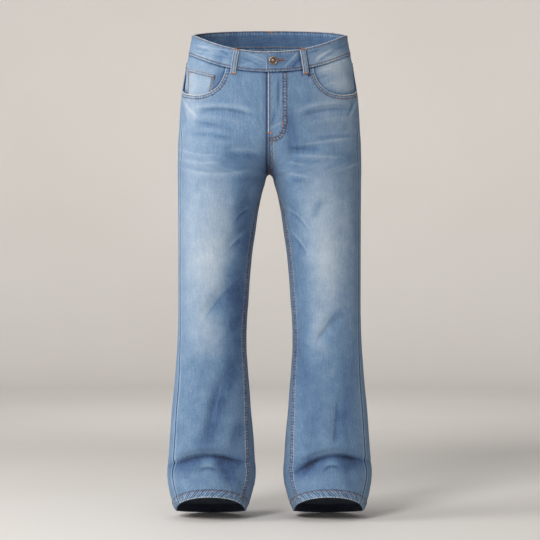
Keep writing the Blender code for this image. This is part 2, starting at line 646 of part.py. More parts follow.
def clear_scene():
    for item in list(bpy.data.objects):
        bpy.data.objects.remove(item)


def main():
    clear_scene()
    denim = new_material("light blue denim", (0.25, 0.38, 0.60), 0.0, 0.85)
    brass = new_material("aged brass", (0.42, 0.33, 0.20), 1.0, 0.45)
    pieces = []
    for side in (1, -1):
        pieces.append(front_panel(side, denim))
        pieces.append(back_panel(side, denim))
        pieces.append(yoke(side, denim))
        pieces.append(pocket_facing(side, denim))
        pieces.append(back_pocket(side, denim))
    pieces.append(coin_pocket(denim))
    band = waistband(denim)
    pieces.append(band)
    cutter = buttonhole_cutter(denim)
    pieces.append(cutter)
    cut = band.modifiers.new("buttonhole", "BOOLEAN")
    cut.operation = "DIFFERENCE"
    cut.solver = "EXACT"
    cut.object = cutter
    loops = (
        # name, side, x at the foot, x at the top, face
        ("belt_loop_front_left", 1, 0.0800, 0.0715, -1),
        ("belt_loop_front_right", -1, 0.0800, 0.0715, -1),
        ("belt_loop_side_left", 1, 0.1450, 0.1390, 1),
        ("belt_loop_side_right", -1, 0.1450, 0.1390, 1),
        ("belt_loop_back", 1, 0.0, 0.0, 1),
    )
    for name, side, foot_x, top_x, face in loops:
        pieces.append(belt_loop(name, side, foot_x, top_x, face, denim))
    pieces.append(button(brass))
    waist = bpy.data.objects.new("waist", None)
    bpy.context.scene.collection.objects.link(waist)
    waist.location = (0.0, 0.0, -WAIST)
    for piece in pieces:
        piece.parent = waist


main()
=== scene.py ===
"""Looks of the empty bootcut jeans: fine cloth, sewing, washes, the button, floor, light and camera.

The cloth lies on the same surface as the solids: surface(side, angle, height, out). The angle
runs round one leg or one half of the hips: 0 at the outside, minus to the front, plus to the
back, and half a turn at the inside leg. Heights are from the level of the side hems and the
finished points go down by WAIST, because the origin is the middle of the waist. Side is 1 for
the wearer's left and -1 for the right; face is -1 for the front and 1 for the back.
Places that are read off the photograph are given in its own squares, 540 each way.
"""

import json
import math

import bpy
import numpy as np
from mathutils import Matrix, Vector

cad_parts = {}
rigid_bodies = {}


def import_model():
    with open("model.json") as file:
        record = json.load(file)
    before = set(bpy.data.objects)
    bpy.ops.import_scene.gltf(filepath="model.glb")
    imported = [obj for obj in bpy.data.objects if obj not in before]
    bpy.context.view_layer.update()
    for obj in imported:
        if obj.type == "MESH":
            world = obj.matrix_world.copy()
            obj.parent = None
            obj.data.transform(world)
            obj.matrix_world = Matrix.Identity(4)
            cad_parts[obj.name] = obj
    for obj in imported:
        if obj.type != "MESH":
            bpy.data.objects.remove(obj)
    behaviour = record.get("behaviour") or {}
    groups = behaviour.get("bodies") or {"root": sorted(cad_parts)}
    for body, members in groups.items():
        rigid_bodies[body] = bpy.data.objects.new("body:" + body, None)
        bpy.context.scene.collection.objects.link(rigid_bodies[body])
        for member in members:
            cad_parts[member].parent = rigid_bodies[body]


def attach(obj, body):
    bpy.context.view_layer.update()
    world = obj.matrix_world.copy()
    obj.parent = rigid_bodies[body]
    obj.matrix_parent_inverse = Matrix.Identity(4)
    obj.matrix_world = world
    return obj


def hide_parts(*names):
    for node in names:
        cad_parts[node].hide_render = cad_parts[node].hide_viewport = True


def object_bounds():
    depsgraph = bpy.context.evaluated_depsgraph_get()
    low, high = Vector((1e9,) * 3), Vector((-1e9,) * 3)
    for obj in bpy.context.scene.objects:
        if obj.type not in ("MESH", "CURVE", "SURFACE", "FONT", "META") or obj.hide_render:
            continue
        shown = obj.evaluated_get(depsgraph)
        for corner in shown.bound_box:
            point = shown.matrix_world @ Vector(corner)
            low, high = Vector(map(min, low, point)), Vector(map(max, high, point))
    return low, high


for leftover in list(bpy.data.objects):
    bpy.data.objects.remove(leftover)
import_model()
solid_low, solid_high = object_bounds()

# ---------------------------------------------------------------- sizes, in metres
DENIM = 0.0016
HEM_THICK = 0.0030
HEM_HEIGHT = 0.018
WAIST = 1.0690
BAND_HEIGHT = 0.0455
SEAM = WAIST - BAND_HEIGHT
BAND_GAP = 0.0008
BAND_THICK = 0.0026
BAND_PROUD = 0.0005
FRONT_DIP = 0.047
BACK_RISE = 0.024
DIP_ROUND = 2.2
DIP_FROM = 0.800
HEM_ARCH = 0.041
HEM_DROP = 0.015
HEM_FADE = 0.130
CROTCH = 0.757
FRONT_CURVE = 0.120
BACK_CURVE = 0.160
INSIDE_SQUARE = 3.2
SIDE_SEAM = math.radians(7.0)
SIDE_THIGH = math.radians(18.0)
SIDE_CALF = math.radians(7.0)
INSIDE_SEAM = math.radians(21.0)
INSIDE_CALF = math.radians(10.0)
FLY_LAP = 0.0035
FLY_PUSH = 0.0020
FLY_FROM = 0.785
FLY_TACK = 0.8440  # height where the fly ends in a bartack
MOUTH_SHARE = 0.447
FACING_SHARE = 0.400
FACING_THICK = 0.0014
FACING_DEPTH = {1: 0.0030, -1: 0.0047}
COIN_THICK = 0.0014
COIN_CLEAR = 0.0004
YOKE_SIDE = 0.027
YOKE_CENTRE = 0.067
POCKET_CLEAR = 0.0007
POCKET_X = 0.101  # the back pocket's middle, and half its width at the top
POCKET_HALF = 0.066
POCKET_TOP = 0.953
POCKET_FOOT = 0.802
LOOP_WIDTH = 0.012
LOOP_THICK = 0.0018
LOOP_CLEAR = 0.0006
LOOP_BOW = 0.0028
LOOP_TAIL = 0.0115
OVER_END = -0.0068
UNDER_END = 0.0360
OVER_LIFT = 0.0032
OVER_FLAT = 0.0410
OVER_BLEND = 0.0720
END_RADIUS = 0.006
BUTTON_X = 0.0086
BUTTON_UP = 0.0250
HOLE_START = 0.0140
HOLE_END = 0.0330
HOLE_ROUND = 0.0012  # the slit ends this far before its stitches
HOLE_BAR = 0.0018  # half the height of the stitches round it
STEADY_SHARE = {-1: 0.28, 1: 0.22}
STEADY_X = 0.058
STEADY_MORE = 0.030
FRONT_LOOP = (0.0800, 0.0715, 0.969, 1.022)  # its x at the foot and top, true heights of both
TUCK = 0.0030  # how far the panels go up inside the waistband
STRIP = 0.0118  # width of the felled seams
TURNED_SIDE = 0.0014  # how deep the cloth is turned in at the side seams
TURNED_EDGE = 0.0012  # and at the other seams
FLY_FACING = (0.0385, 0.8698, 0.0395)  # its width, the height where it starts to curve, its drop
STEP = 0.0034  # between two rows of the fine cloth
FINE_ENDS = np.array((0.0, 0.0004, 0.0010, 0.0020))  # rows and columns next to an edge

# rows of stitches, as distances from the edge beside them
HEM_ROW = 0.0172
MOUTH_ROWS = (0.0029, 0.0088)
MOUTH_HEM = 0.0100  # how wide the pocket mouth is turned in
FELLED_ROWS = (0.0016, 0.0098)
BAND_ROWS = (0.0046, 0.0029)  # above the band's foot and below its top
FLY_EDGE_ROW = 0.0034
J_APART = 0.0033  # each row of the fly's curve from its middle
COIN_ROWS = (0.0016, 0.0076)
POCKET_ROWS = (0.0018, 0.0080)
POCKET_HEM_ROWS = (0.0020, 0.0165)
END_ROW = 0.0028  # from the waistband's left end
LOOP_ROW = 0.0022
STITCH = 0.0033  # from one stitch to the next
STITCH_SHARE = 0.90  # of that, the length of the thread that shows
BAR_STITCH = 0.0006  # from one to the next in a bartack
THREAD = 0.00066  # half the width of the thread
GROOVE = 0.0011  # half the width of the dark line along a row
PLAIN_FADE = 0.46  # the wash where nothing is worn

CAMERA_AWAY = 4.5
CAMERA_UP = 0.542
CAMERA_SIDE = 0.0011
PICTURE = 1.215  # width of the photograph at the middle of the jeans
SQUARE = PICTURE / 540.0 / CAMERA_AWAY  # one square of the photograph, a metre from the camera
FRONT_DEPTH = 0.100  # how far the front lies before the middle, about
FRONT_SQUARE = SQUARE * (CAMERA_AWAY - FRONT_DEPTH)  # one square there
MIDDLE_SQUARE = (269.5, 270.0)  # the square of the centre line and of the camera's height

# The shape of the legs and hips, in millimetres but for the last column.
SECTIONS = np.array(
    (
        # height, outer, inner, front, back, middle, square
        (0, 210, 54, -98, 100, 0, 2.15), (11, 216.5, 49, -96.5, 99, 0, 2.15),
        (25, 220.3, 43.6, -94.5, 97.5, 0, 2.15), (38, 224, 39.6, -92, 96, 1, 2.15),
        (52, 226.6, 35.9, -89, 94, 1.5, 2.15), (65, 228.8, 32.8, -86, 92, 2, 2.15),
        (92, 230.3, 30.9, -81.5, 89.5, 3, 2.15), (113, 228.3, 32.6, -80, 88, 3, 2.15),
        (169, 224, 36.1, -76.5, 85, 3.5, 2.15), (223, 220.3, 41.3, -73, 82, 4, 2.15),
        (277, 215, 45, -70, 79, 4, 2.15), (331, 210.5, 49.3, -69, 76, 3, 2.15),
        (385, 207, 51.6, -70, 74, 1, 2.15), (425, 205.5, 50.6, -71.5, 75, 0, 2.15),
        (466, 205, 47.6, -75, 79, 0, 2.15), (547, 205.2, 41.8, -84, 90, 2, 2.15),
        (628, 205.5, 31.6, -95, 102, 4, 2.15), (709, 206, 18.2, -106, 115, 6, 2.15),
        (736, 206.3, 11.3, -109.5, 119, 7, 2.15), (753, 206.6, 6.6, -111.5, 121.5, 8, 2.15),
        (757, 206.7, 0, -112, 122, 8, 2.15), (812, 206, 0, -116.5, 129, 6, 2.2),
        (853, 203.8, 0, -118, 131, 4, 2.25), (907, 200.2, 0, -118, 128.5, 2, 2.25),
        (947, 195.8, 0, -116.5, 124, 1, 2.25), (974, 191.3, 0, -115, 120.5, 0, 2.25),
        (1001, 186.6, 0, -113, 117, 0, 2.2), (1027, 181.2, 0, -111, 114, 0, 2.2),
        (1051, 176.7, 0, -110, 112, 0, 2.2), (1069, 173.5, 0, -109.5, 111, 0, 2.2),
    )
) / np.array((1000.0, 1000.0, 1000.0, 1000.0, 1000.0, 1000.0, 1.0))

MOUTH = np.array(
    (
        # share across the front, true height
        (0.447, 0.9875), (0.465, 0.9718), (0.501, 0.9532), (0.548, 0.9413), (0.616, 0.9333),
        (0.705, 0.9299), (0.829, 0.9328), (1, 0.9436),
    )
)

# The folds that the solids have too, in millimetres: both ends as distance from the centre line
# and height, bow, half width and depth.
FOLDS = (
    # side, face, x start, z start, x end, z end, bow, width, depth
    (-1, -1, 223, 110, 60, 120, 19, 13, 5), (-1, -1, 215, 88, 70, 98, 16, 15, -3),
    (-1, -1, 123, 128, 74, 56, 0, 15, 3), (1, -1, 223, 116, 48, 96, 27, 13, 5),
    (1, -1, 215, 92, 60, 80, 20, 15, -3), (1, -1, 145, 265, 145, 145, 0, 15, 2.5),
    (-1, -1, 125, 265, 125, 150, 0, 17, 2), (-1, -1, 150, 428, 72, 528, 4, 17, 3),
    (1, -1, 96, 372, 165, 448, 4, 17, 2.8), (-1, -1, 30, 695, 90, 642, 3, 15, 2.4),
    (-1, -1, 42, 640, 100, 583, 3, 15, 2.2), (1, -1, 25, 695, 100, 624, 3, 15, 2.4),
    (1, -1, 42, 642, 90, 573, 3, 15, 2.2), (-1, -1, 15, 788, 110, 802, 8, 14, 3),
    (1, -1, 30, 785, 125, 813, 6, 14, 2.6), (-1, -1, 170, 886, 30, 874, 11, 15, 2),
    (1, -1, 190, 902, 65, 872, 7, 15, 2.2), (-1, 1, 220, 130, 45, 112, -15, 14, 5),
    (-1, 1, 210, 85, 55, 76, -12, 15, -3), (-1, 1, 190, 185, 50, 162, -12, 15, 2.8),
    (1, 1, 220, 120, 45, 124, -17, 14, 4.8), (1, 1, 210, 78, 55, 82, -12, 15, -3),
    (1, 1, 205, 170, 60, 185, -11, 15, 3), (-1, 1, 195, 435, 60, 455, -15, 15, 3.2),
    (-1, 1, 55, 398, 180, 385, -12, 16, 2.6), (1, 1, 195, 450, 60, 438, -16, 15, 3.2),
    (1, 1, 60, 385, 185, 403, -12, 16, 2.4), (-1, 1, 30, 718, 185, 778, -18, 17, 3.4),
    (-1, 1, 35, 670, 160, 718, -16, 16, 2.6), (1, 1, 28, 724, 190, 774, -20, 17, 3.4),
    (1, 1, 40, 662, 150, 716, -15, 16, 2.6),
)

# Smaller creases of the cloth, in squares of the photograph; the back has its own, seen as if
# through the front. Bow is upward. The cloth falls in quickly over the first width, above the
# line, and comes out slowly over the second, below it. Depth is in millimetres, minus stands out.
CREASES = (
    # face, from x, from y, to x, to y, bow, above, below, depth
    # the stacked cloth over the right shoe opening
    (-1, 158, 473, 254, 468, 14.5, 1.3, 7, 7), (-1, 166, 464, 246, 457, 12, 7, 2.4, -2),
    (-1, 199, 472, 218, 472, 3.2, 1, 3, 2), (-1, 216, 457, 236, 489, 0, 3.5, 4, 2.6),
    (-1, 226, 462, 240, 478, 1, 2, 3, 1.2), (-1, 183, 478, 190, 480, 0, 1.2, 1.8, 1.4),
    (-1, 172, 470, 186, 484, -1, 2, 3, 1.2), (-1, 236, 470, 246, 466, 1, 1.2, 2, 1.2),
    (-1, 234, 482, 247, 480, 1, 1.5, 2.5, 1.2),
    # the same over the left one
    (-1, 284, 483, 381, 469, 19.5, 1.3, 7, 7), (-1, 292, 471, 372, 458, 16.5, 7, 2.4, -2),
    (-1, 323, 472, 341, 470, 4, 1, 3, 2.2), (-1, 340, 455, 353, 484, 1, 3, 3.6, 2.2),
    (-1, 346, 468, 366, 470, 2, 1.4, 2.4, 1.6), (-1, 297, 474, 312, 488, -1, 2, 3, 1.4),
    (-1, 296, 458, 306, 466, 1, 1.6, 2.4, 1.2),
    # long drags in the lower legs
    (-1, 223, 374, 206, 446, 1, 5, 2, 3), (-1, 226, 372, 219, 436, 1, 4, 4, 1.6),
    (-1, 240, 420, 231, 452, 0.5, 2.2, 3, 1.2), (-1, 339, 396, 335, 450, 0.6, 1.2, 6, 3),
    (-1, 346, 410, 350, 452, 0.6, 3, 4, 1.5), (-1, 312, 405, 318, 448, 0.8, 3, 4, 1.2),
    # knees
    (-1, 205, 322, 236, 284, 2, 2.2, 9, 1.9), (-1, 222, 345, 242, 322, 1, 2.5, 4, 1.4),
    (-1, 186, 356, 216, 366, -1.5, 3, 4, 1.2), (-1, 341, 315, 316, 345, 1.5, 2.2, 8, 1.8),
    (-1, 308, 361, 330, 352, 1, 2.5, 4, 1.3), (-1, 297, 326, 313, 336, 0.8, 1.5, 2.5, 0.9),
    # pulls from the crotch down the inner thighs
    (-1, 253, 204.5, 232, 224, 3, 0.9, 2, -1.5), (-1, 251, 209, 231, 228, 3, 1.4, 2.6, 1.4),
    (-1, 247.5, 230, 227, 248.5, 1, 1.2, 2.4, -1.2), (-1, 244, 236, 226, 252, 1, 1.6, 2.6, 1),
    (-1, 284.5, 205.5, 309.5, 230, 3.2, 0.9, 2, -1.5), (-1, 286, 210, 309, 235, 3.2, 1.4, 2.6, 1.3),
    (-1, 291, 229, 307.5, 254, 1, 1.2, 2.4, -1.2), (-1, 293, 236, 306, 257, 1, 1.6, 2.6, 1),
    (-1, 262, 178, 246, 190, 0.8, 1.5, 2.5, 1), (-1, 278, 178, 296, 192, 0.8, 1.5, 2.5, 1),
    # across the hips and the lap
    (-1, 219, 153, 268, 156, 1.5, 1.2, 6, 1.1), (-1, 226, 168, 262, 170, 1, 3, 3, -1.1),
    (-1, 192, 112, 262, 121, 6.5, 1.4, 3, 0.7), (-1, 190, 109, 262, 116, 6.5, 2.5, 1.6, -0.5),
    (-1, 290, 120, 362, 108.5, 4.5, 1.4, 3, 0.7), (-1, 290, 116, 352, 103, 4, 2.5, 1.6, -0.5),
    (-1, 196, 126, 236, 131, 1.5, 1.8, 3, 0.9), (-1, 192, 139, 240, 144, 1.5, 1.8, 3, 0.9),
    (-1, 310, 137, 356, 128, 1.5, 1.8, 3, 0.9), (-1, 286, 148, 352, 143, -1, 1.6, 3, 0.6),
    (-1, 288, 160, 350, 160, -2, 1.6, 3, 0.9), (-1, 182, 95.5, 192, 114, 1, 1.4, 2, -1.4),
    (-1, 184.5, 98, 194, 118, 1, 1.4, 2.4, 1.4), (-1, 358, 94, 351, 115, -1, 1.4, 2, -1.4),
    (-1, 355, 97, 348, 118, -1, 1.4, 2.4, 1.4), (-1, 289, 118, 292, 168, 1, 2.2, 4, 1.8),
    (-1, 278.5, 73, 278.5, 114, 0, 1.4, 1.4, 1.3), (-1, 258, 78, 262, 150, 0, 2.5, 3, 0.9),
    (-1, 296, 88, 302, 104, 0.5, 1.4, 2.4, 0.8), (-1, 314, 68, 332, 63, 0.5, 0.9, 1.6, 0.6),
    (-1, 317, 79.5, 332, 73, 0.5, 0.9, 1.8, 0.6), (-1, 238, 78, 244, 92, 0.5, 1.4, 2.4, 0.7),
    # behind the knees, under the seat and above the back hems
    (1, 172, 462, 242, 468, -7, 1.8, 5, 4.6), (1, 182, 478, 238, 474, -5, 1.4, 3.5, 2),
    (1, 186, 440, 236, 446, -5, 1.6, 4, 2.2), (1, 296, 466, 366, 464, -8, 1.8, 5, 4.8),
    (1, 300, 476, 352, 480, -5, 1.4, 3.5, 2), (1, 304, 446, 356, 438, -5, 1.6, 4, 2),
    (1, 182, 318, 240, 326, -6, 1.5, 4, 2.8), (1, 190, 336, 246, 332, -5, 1.5, 4, 2.2),
    (1, 186, 300, 232, 308, -5, 1.4, 3.4, 1.6), (1, 300, 326, 358, 318, -6, 1.5, 4, 2.8),
    (1, 294, 334, 350, 338, -5, 1.5, 4, 2), (1, 306, 306, 352, 300, -5, 1.4, 3.4, 1.5),
    (1, 256, 186, 190, 166, -6, 1.6, 5, 2.6), (1, 252, 204, 200, 186, -5, 1.6, 4, 1.8),
    (1, 283, 186, 352, 164, -6, 1.6, 5, 2.6), (1, 288, 206, 344, 184, -5, 1.6, 4, 1.8),
    (1, 262, 128, 250, 166, 1, 2, 3, 1.2), (1, 277, 128, 290, 166, 1, 2, 3, 1.2),
    (1, 206, 392, 202, 440, 1, 3, 5, 1.8), (1, 336, 388, 340, 438, 1, 3, 5, 1.8),
)

# Where the wash has faded or kept the blue, in squares of the photograph: the middle of a soft
# spot, its two half widths, its lean in degrees and how much paler (minus: bluer) it is. The darker
# spots over the ankles, under the stacked folds, are painted shade.
SPOTS = (
    # face, x, y, across, down, lean, paler
    (-1, 209, 228, 28, 56, 0, 0.27), (-1, 205, 286, 21, 44, -8, 0.21), (-1, 206, 336, 19, 24, 0, 0.18),
    (-1, 243, 225, 9, 42, 0, -0.22), (-1, 236, 300, 11, 44, 4, -0.23), (-1, 233, 358, 9, 32, 4, -0.15),
    (-1, 217, 305, 7, 9, 20, -0.08), (-1, 219, 404, 10, 42, -14, -0.2), (-1, 204, 440, 8, 14, -20, -0.12),
    (-1, 237, 436, 6, 16, -10, -0.16), (-1, 184, 467, 17, 9, 14, -0.09), (-1, 229, 467, 14, 12, -16, -0.15),
    (-1, 236, 484, 7, 12, 25, -0.08), (-1, 207, 464, 7, 8, 0, 0.16), (-1, 203, 52, 14, 11, 0, 0.18),
    (-1, 188, 210, 8, 160, 0, 0.07), (-1, 216, 80, 5, 12, -28, -0.2), (-1, 226, 63, 5, 6, 0, 0.16),
    (-1, 196, 80, 24, 17, 0, 0.22), (-1, 190, 108, 10, 14, 0, 0.14), (-1, 197, 140, 18, 42, 0, 0.08),
    (-1, 240, 162, 22, 10, 3, -0.08), (-1, 267, 171, 6, 7, 0, -0.2), (-1, 272, 171, 5, 7, 0, -0.2),
    (-1, 246, 181, 13, 8, 0, -0.05), (-1, 228, 60, 10, 8, 0, -0.04), (-1, 325, 224, 23, 56, 2, 0.29),
    (-1, 327, 288, 17, 44, -4, 0.22), (-1, 318, 338, 12, 24, -14, 0.16), (-1, 297, 250, 9, 60, 8, -0.06),
    (-1, 300, 356, 10, 40, 0, -0.12), (-1, 349, 250, 7, 110, 0, 0.08), (-1, 346, 424, 10, 30, 6, -0.09),
    (-1, 350, 380, 9, 40, 0, -0.1), (-1, 317, 209, 5, 14, -25, -0.08), (-1, 334, 76, 19, 13, 0, 0.16),
    (-1, 333, 60, 20, 12, 0, 0.29), (-1, 348, 86, 12, 12, 0, 0.17), (-1, 312, 410, 12, 60, 0, -0.09),
    (-1, 304, 469, 13, 10, 32, -0.15), (-1, 353, 464, 16, 10, -14, -0.12), (-1, 332, 462, 6, 7, 0, 0.14),
    (-1, 350, 478, 9, 12, 20, -0.08), (-1, 292, 138, 6, 28, 8, -0.16), (-1, 336, 112, 22, 36, 0, 0.11),
    (-1, 346, 157, 8, 6, 0, -0.1), (-1, 304, 149, 16, 5, 0, -0.05), (-1, 283, 62, 14, 9, 0, -0.14),
    (1, 205, 230, 22, 60, 0, 0.24), (1, 334, 230, 22, 60, 0, 0.24), (1, 214, 122, 34, 34, 0, 0.16),
    (1, 325, 122, 34, 34, 0, 0.16), (1, 208, 322, 24, 26, 0, 0.1), (1, 330, 322, 24, 26, 0, 0.1),
    (1, 256, 190, 18, 40, 0, -0.16), (1, 283, 190, 18, 40, 0, -0.16), (1, 208, 452, 34, 34, 0, 0.08),
    (1, 330, 452, 34, 34, 0, 0.08),
)

# Sharper lines of the wash: worn ridges are paler, the folds between them bluer. The dark lines
# just under the stacked folds at the ankles and under the lap fold are painted shade.
WHISKERS_AND_FOLD_SHADE = (
    # face, from x, from y, to x, to y, bow, above, below, paler
    (-1, 192, 112, 262, 121, 6.5, 1.2, 1.6, -0.12), (-1, 184, 109, 262, 116, 6.5, 3.2, 1.4, 0.17),
    (-1, 184, 118, 252, 126, 5, 1.6, 3.6, 0.07), (-1, 184, 118, 240, 132, 1, 1.2, 2.4, -0.09),
    (-1, 196, 128, 226, 133, 1, 1.6, 1.6, 0.07), (-1, 182, 132, 238, 140, 1.5, 1.4, 2.8, -0.1),
    (-1, 170, 143, 224, 154, -5, 0.7, 1.8, 0.12), (-1, 170, 154, 228, 161, -4.5, 0.7, 1.8, 0.1),
    (-1, 168, 162, 276, 165, -10, 0.8, 3.4, 0.13), (-1, 219, 154, 270, 157.5, 1.6, 0.6, 6, -0.11),
    (-1, 224, 150.5, 266, 153, 1.5, 1.8, 0.8, 0.1), (-1, 224, 182, 266, 176, -1, 2.5, 3, -0.06),
    (-1, 255, 203.8, 231, 226, 3, 0.5, 0.8, 0.2), (-1, 251, 209, 232, 227, 3, 1.2, 2.2, -0.12),
    (-1, 248, 230, 226, 250, 1.2, 0.5, 0.8, 0.18), (-1, 244, 238, 228, 252, 1.2, 1.2, 2.2, -0.12),
    (-1, 201, 324, 240, 278, 2, 1, 11, -0.14), (-1, 180, 93, 200, 119, -2, 0.9, 1.4, 0.17),
    (-1, 181, 102, 186, 124, 0.5, 1.2, 1.8, -0.14), (-1, 158, 473, 254, 468, 14.5, 0.5, 3.4, -0.22),
    (-1, 158, 474, 254, 469, 14.5, 0.6, 10, -0.2), (-1, 216, 458, 237, 490, 0, 4, 5, -0.11),
    (-1, 199, 472, 218, 472, 3.2, 0.7, 2.4, -0.2), (-1, 190, 41, 236, 51.5, -1, 0.6, 1.2, 0.14),
    (-1, 188, 50, 232, 62.5, -1, 0.6, 1.4, 0.12), (-1, 186, 47.5, 234, 58.5, -1, 0.6, 1, -0.11),
    (-1, 240, 51.5, 268, 63, 1, 0.6, 1.4, 0.13), (-1, 240, 57, 262, 68, 1, 0.8, 1.4, -0.14),
    (-1, 238, 66, 266, 57, -1, 0.6, 1.2, 0.09), (-1, 289, 71, 304, 53, 0, 0.8, 1.8, -0.14),
    (-1, 308, 69, 352, 55, -1, 0.7, 1.4, 0.12), (-1, 318, 52, 352, 40, -1, 0.7, 1.2, -0.11),
    (-1, 193, 45.5, 211, 50.5, 0, 0.8, 1.2, -0.14), (-1, 219, 49, 230, 55, 0, 1, 1.5, -0.14),
    (-1, 200, 54, 228, 62, 0, 1.2, 1.5, -0.1), (-1, 290, 120, 362, 108.5, 4.5, 1.2, 1.6, -0.11),
    (-1, 290, 115, 352, 102, 4, 3, 1.5, 0.15), (-1, 300, 126, 366, 116, 3, 1.6, 3.6, 0.07),
    (-1, 290, 146, 364, 134, -1, 0.7, 1.6, 0.16), (-1, 308, 139, 362, 134.5, 0.5, 1.6, 2.2, -0.11),
    (-1, 282, 148, 330, 150.5, 0.5, 1.6, 2.4, -0.08), (-1, 280, 155, 352, 157.5, 0, 0.8, 1.8, 0.15),
    (-1, 286, 162, 306, 165, 0, 0.9, 1.6, 0.15), (-1, 302, 163, 322, 161.5, 0, 1.4, 2, -0.1),
    (-1, 283, 172, 312, 177, -0.5, 1, 1.8, 0.17), (-1, 330, 172, 366, 158, -1.5, 0.7, 1.6, 0.15),
    (-1, 290, 181, 306, 179, 0, 2.5, 3, -0.12), (-1, 282, 205, 311, 232, 3.2, 0.5, 0.8, 0.2),
    (-1, 287, 211, 309, 234, 3.2, 1.2, 2.2, -0.12), (-1, 288, 227, 309, 254, 1.2, 0.5, 0.8, 0.17),
    (-1, 293, 236, 306, 256, 1.2, 1.2, 2.2, -0.1), (-1, 345, 303, 314, 347, 2, 1, 11, -0.11),
    (-1, 321.5, 198, 311, 221, -1, 2.6, 2, -0.1), (-1, 360, 92, 349, 118, -1, 0.9, 1.2, 0.16),
    (-1, 354, 99, 347, 116, -1, 1.2, 2, -0.12), (-1, 284, 483, 381, 469, 19.5, 0.5, 3.4, -0.22),
    (-1, 284, 484, 381, 470, 19.5, 0.6, 10, -0.2), (-1, 323, 472, 341, 470, 4, 0.7, 2.4, -0.2),
    (-1, 339, 398, 335, 448, 0.6, 0.7, 7, -0.13), (-1, 278.5, 73, 278.5, 112, 0, 1.3, 1.3, -0.2),
    (-1, 275, 112, 271, 128, 0, 1.5, 1.5, -0.16), (-1, 270.5, 129, 282, 122.5, 0, 0.8, 1.2, 0.16),
    (-1, 282, 70, 300, 49.5, 0, 0.8, 1.8, 0.22), (-1, 313, 66.5, 331, 62.5, 0.5, 0.8, 1.4, -0.07),
    (-1, 315, 72, 334, 66, 0.5, 0.7, 1.4, 0.13), (-1, 316, 79, 331, 73, 0.5, 0.8, 1.6, -0.12),
    (-1, 321, 87, 340, 80, 0.5, 0.7, 1.4, 0.12), (-1, 313, 62, 336, 46, 1.5, 0.9, 1.6, 0.24),
    (-1, 316, 63.5, 338, 48.5, 1.5, 0.9, 1.8, -0.16), (-1, 307, 53.5, 320, 49, 0, 0.9, 1.4, -0.16),
    (1, 184, 316, 242, 324, -7, 1.2, 3, -0.16), (1, 184, 311, 242, 319, -7, 2, 1.4, 0.14),
    (1, 188, 331, 246, 329, -6, 1.6, 2, 0.12), (1, 298, 324, 356, 316, -7, 1.2, 3, -0.16),
    (1, 298, 319, 356, 311, -7, 2, 1.4, 0.14), (1, 294, 330, 350, 332, -6, 1.6, 2, 0.12),
    (1, 256, 184, 192, 164, -7, 1.2, 3.6, -0.14), (1, 256, 180, 192, 160, -7, 2, 1.2, 0.14),
    (1, 283, 184, 350, 162, -7, 1.2, 3.6, -0.14), (1, 283, 180, 350, 158, -7, 2, 1.2, 0.14),
    (1, 252, 202, 204, 186, -5, 1.4, 2, 0.12), (1, 288, 204, 338, 186, -5, 1.4, 2, 0.12),
)

# The middle of the fly's curved rows of stitches: across and down, in squares of the photograph.
J_MIDDLE = (
    (284.8, 284.8, 284.8, 284.3, 282.6, 279.2, 274.8, 267.8),
    (72.2, 96.0, 118.0, 127.0, 132.8, 136.9, 138.7, 139.2),
)

BUTTON_PROFILE = (
    # radius and height above the bare surface in millimetres, how much it is rubbed
    (0.0, 0.7, 0.1), (2.4, 0.7, 0.1), (2.4, 3.8, 0.1), (8.7, 3.8, 0.2), (9.3, 4.0, 0.3), (9.7, 4.6, 0.6),
    (9.6, 5.1, 0.9), (9.2, 5.7, 1.0), (8.5, 6.15, 1.0), (7.7, 6.15, 0.9), (7.1, 5.7, 0.3), (6.7, 5.3, 0.0),
    (6.1, 5.4, 0.1), (5.7, 5.8, 0.7), (5.2, 5.8, 0.7), (4.8, 5.3, 0.1), (4.2, 5.1, 0.0), (3.8, 5.2, 0.1),
    (3.3, 5.7, 0.6), (2.6, 6.4, 0.9), (1.7, 6.7, 1.0), (0.8, 6.85, 1.0), (0.0, 6.9, 1.0),
)


# ---------------------------------------------------------------- the cloth's surface
def ease(share):
    """Nought to one with a soft start and end."""
    share = np.clip(share, 0.0, 1.0)
    return share * share * (3.0 - 2.0 * share)


def within(distance, reach, soft):
    """One up to this reach, then softly down to nought."""
    return 1.0 - ease((distance - reach) / soft)


def dent(distance, at, width):
    """One on the line at this distance, and nought away from it."""
    return np.exp(-(((distance - at) / width) ** 2))


def unit(vectors):
    return vectors / np.maximum(np.linalg.norm(vectors, axis=-1, keepdims=True), 1e-12)


def between(values, slopes, row, share, width):
    """A smooth line from one row of values to the next, leaving and meeting them at their slopes."""
    start = values[row] + share * width * slopes[row]
    end = values[row + 1] - (1.0 - share) * width * slopes[row + 1]
    blend = share * share * (3.0 - 2.0 * share)
    return start * (1.0 - blend) + end * blend


def smooth_line(table, at, column):
    """A column of a table at this place: a smooth line that never overshoots its rows."""
    places, values = table[:, 0], table[:, column]
    steps = np.diff(places)
    slopes = np.diff(values) / steps
    before, after = slopes[:-1], slopes[1:]
    same_way = before * after > 0.0
    middle = np.where(same_way, 2.0 * before * after / np.where(same_way, before + after, 1.0), 0.0)
    tangents = np.concatenate([slopes[:1], middle, slopes[-1:]])
    row = np.clip(np.searchsorted(places, at, side="right") - 1, 0, len(steps) - 1)
    return between(values, tangents, row, (at - places[row]) / steps[row], steps[row])


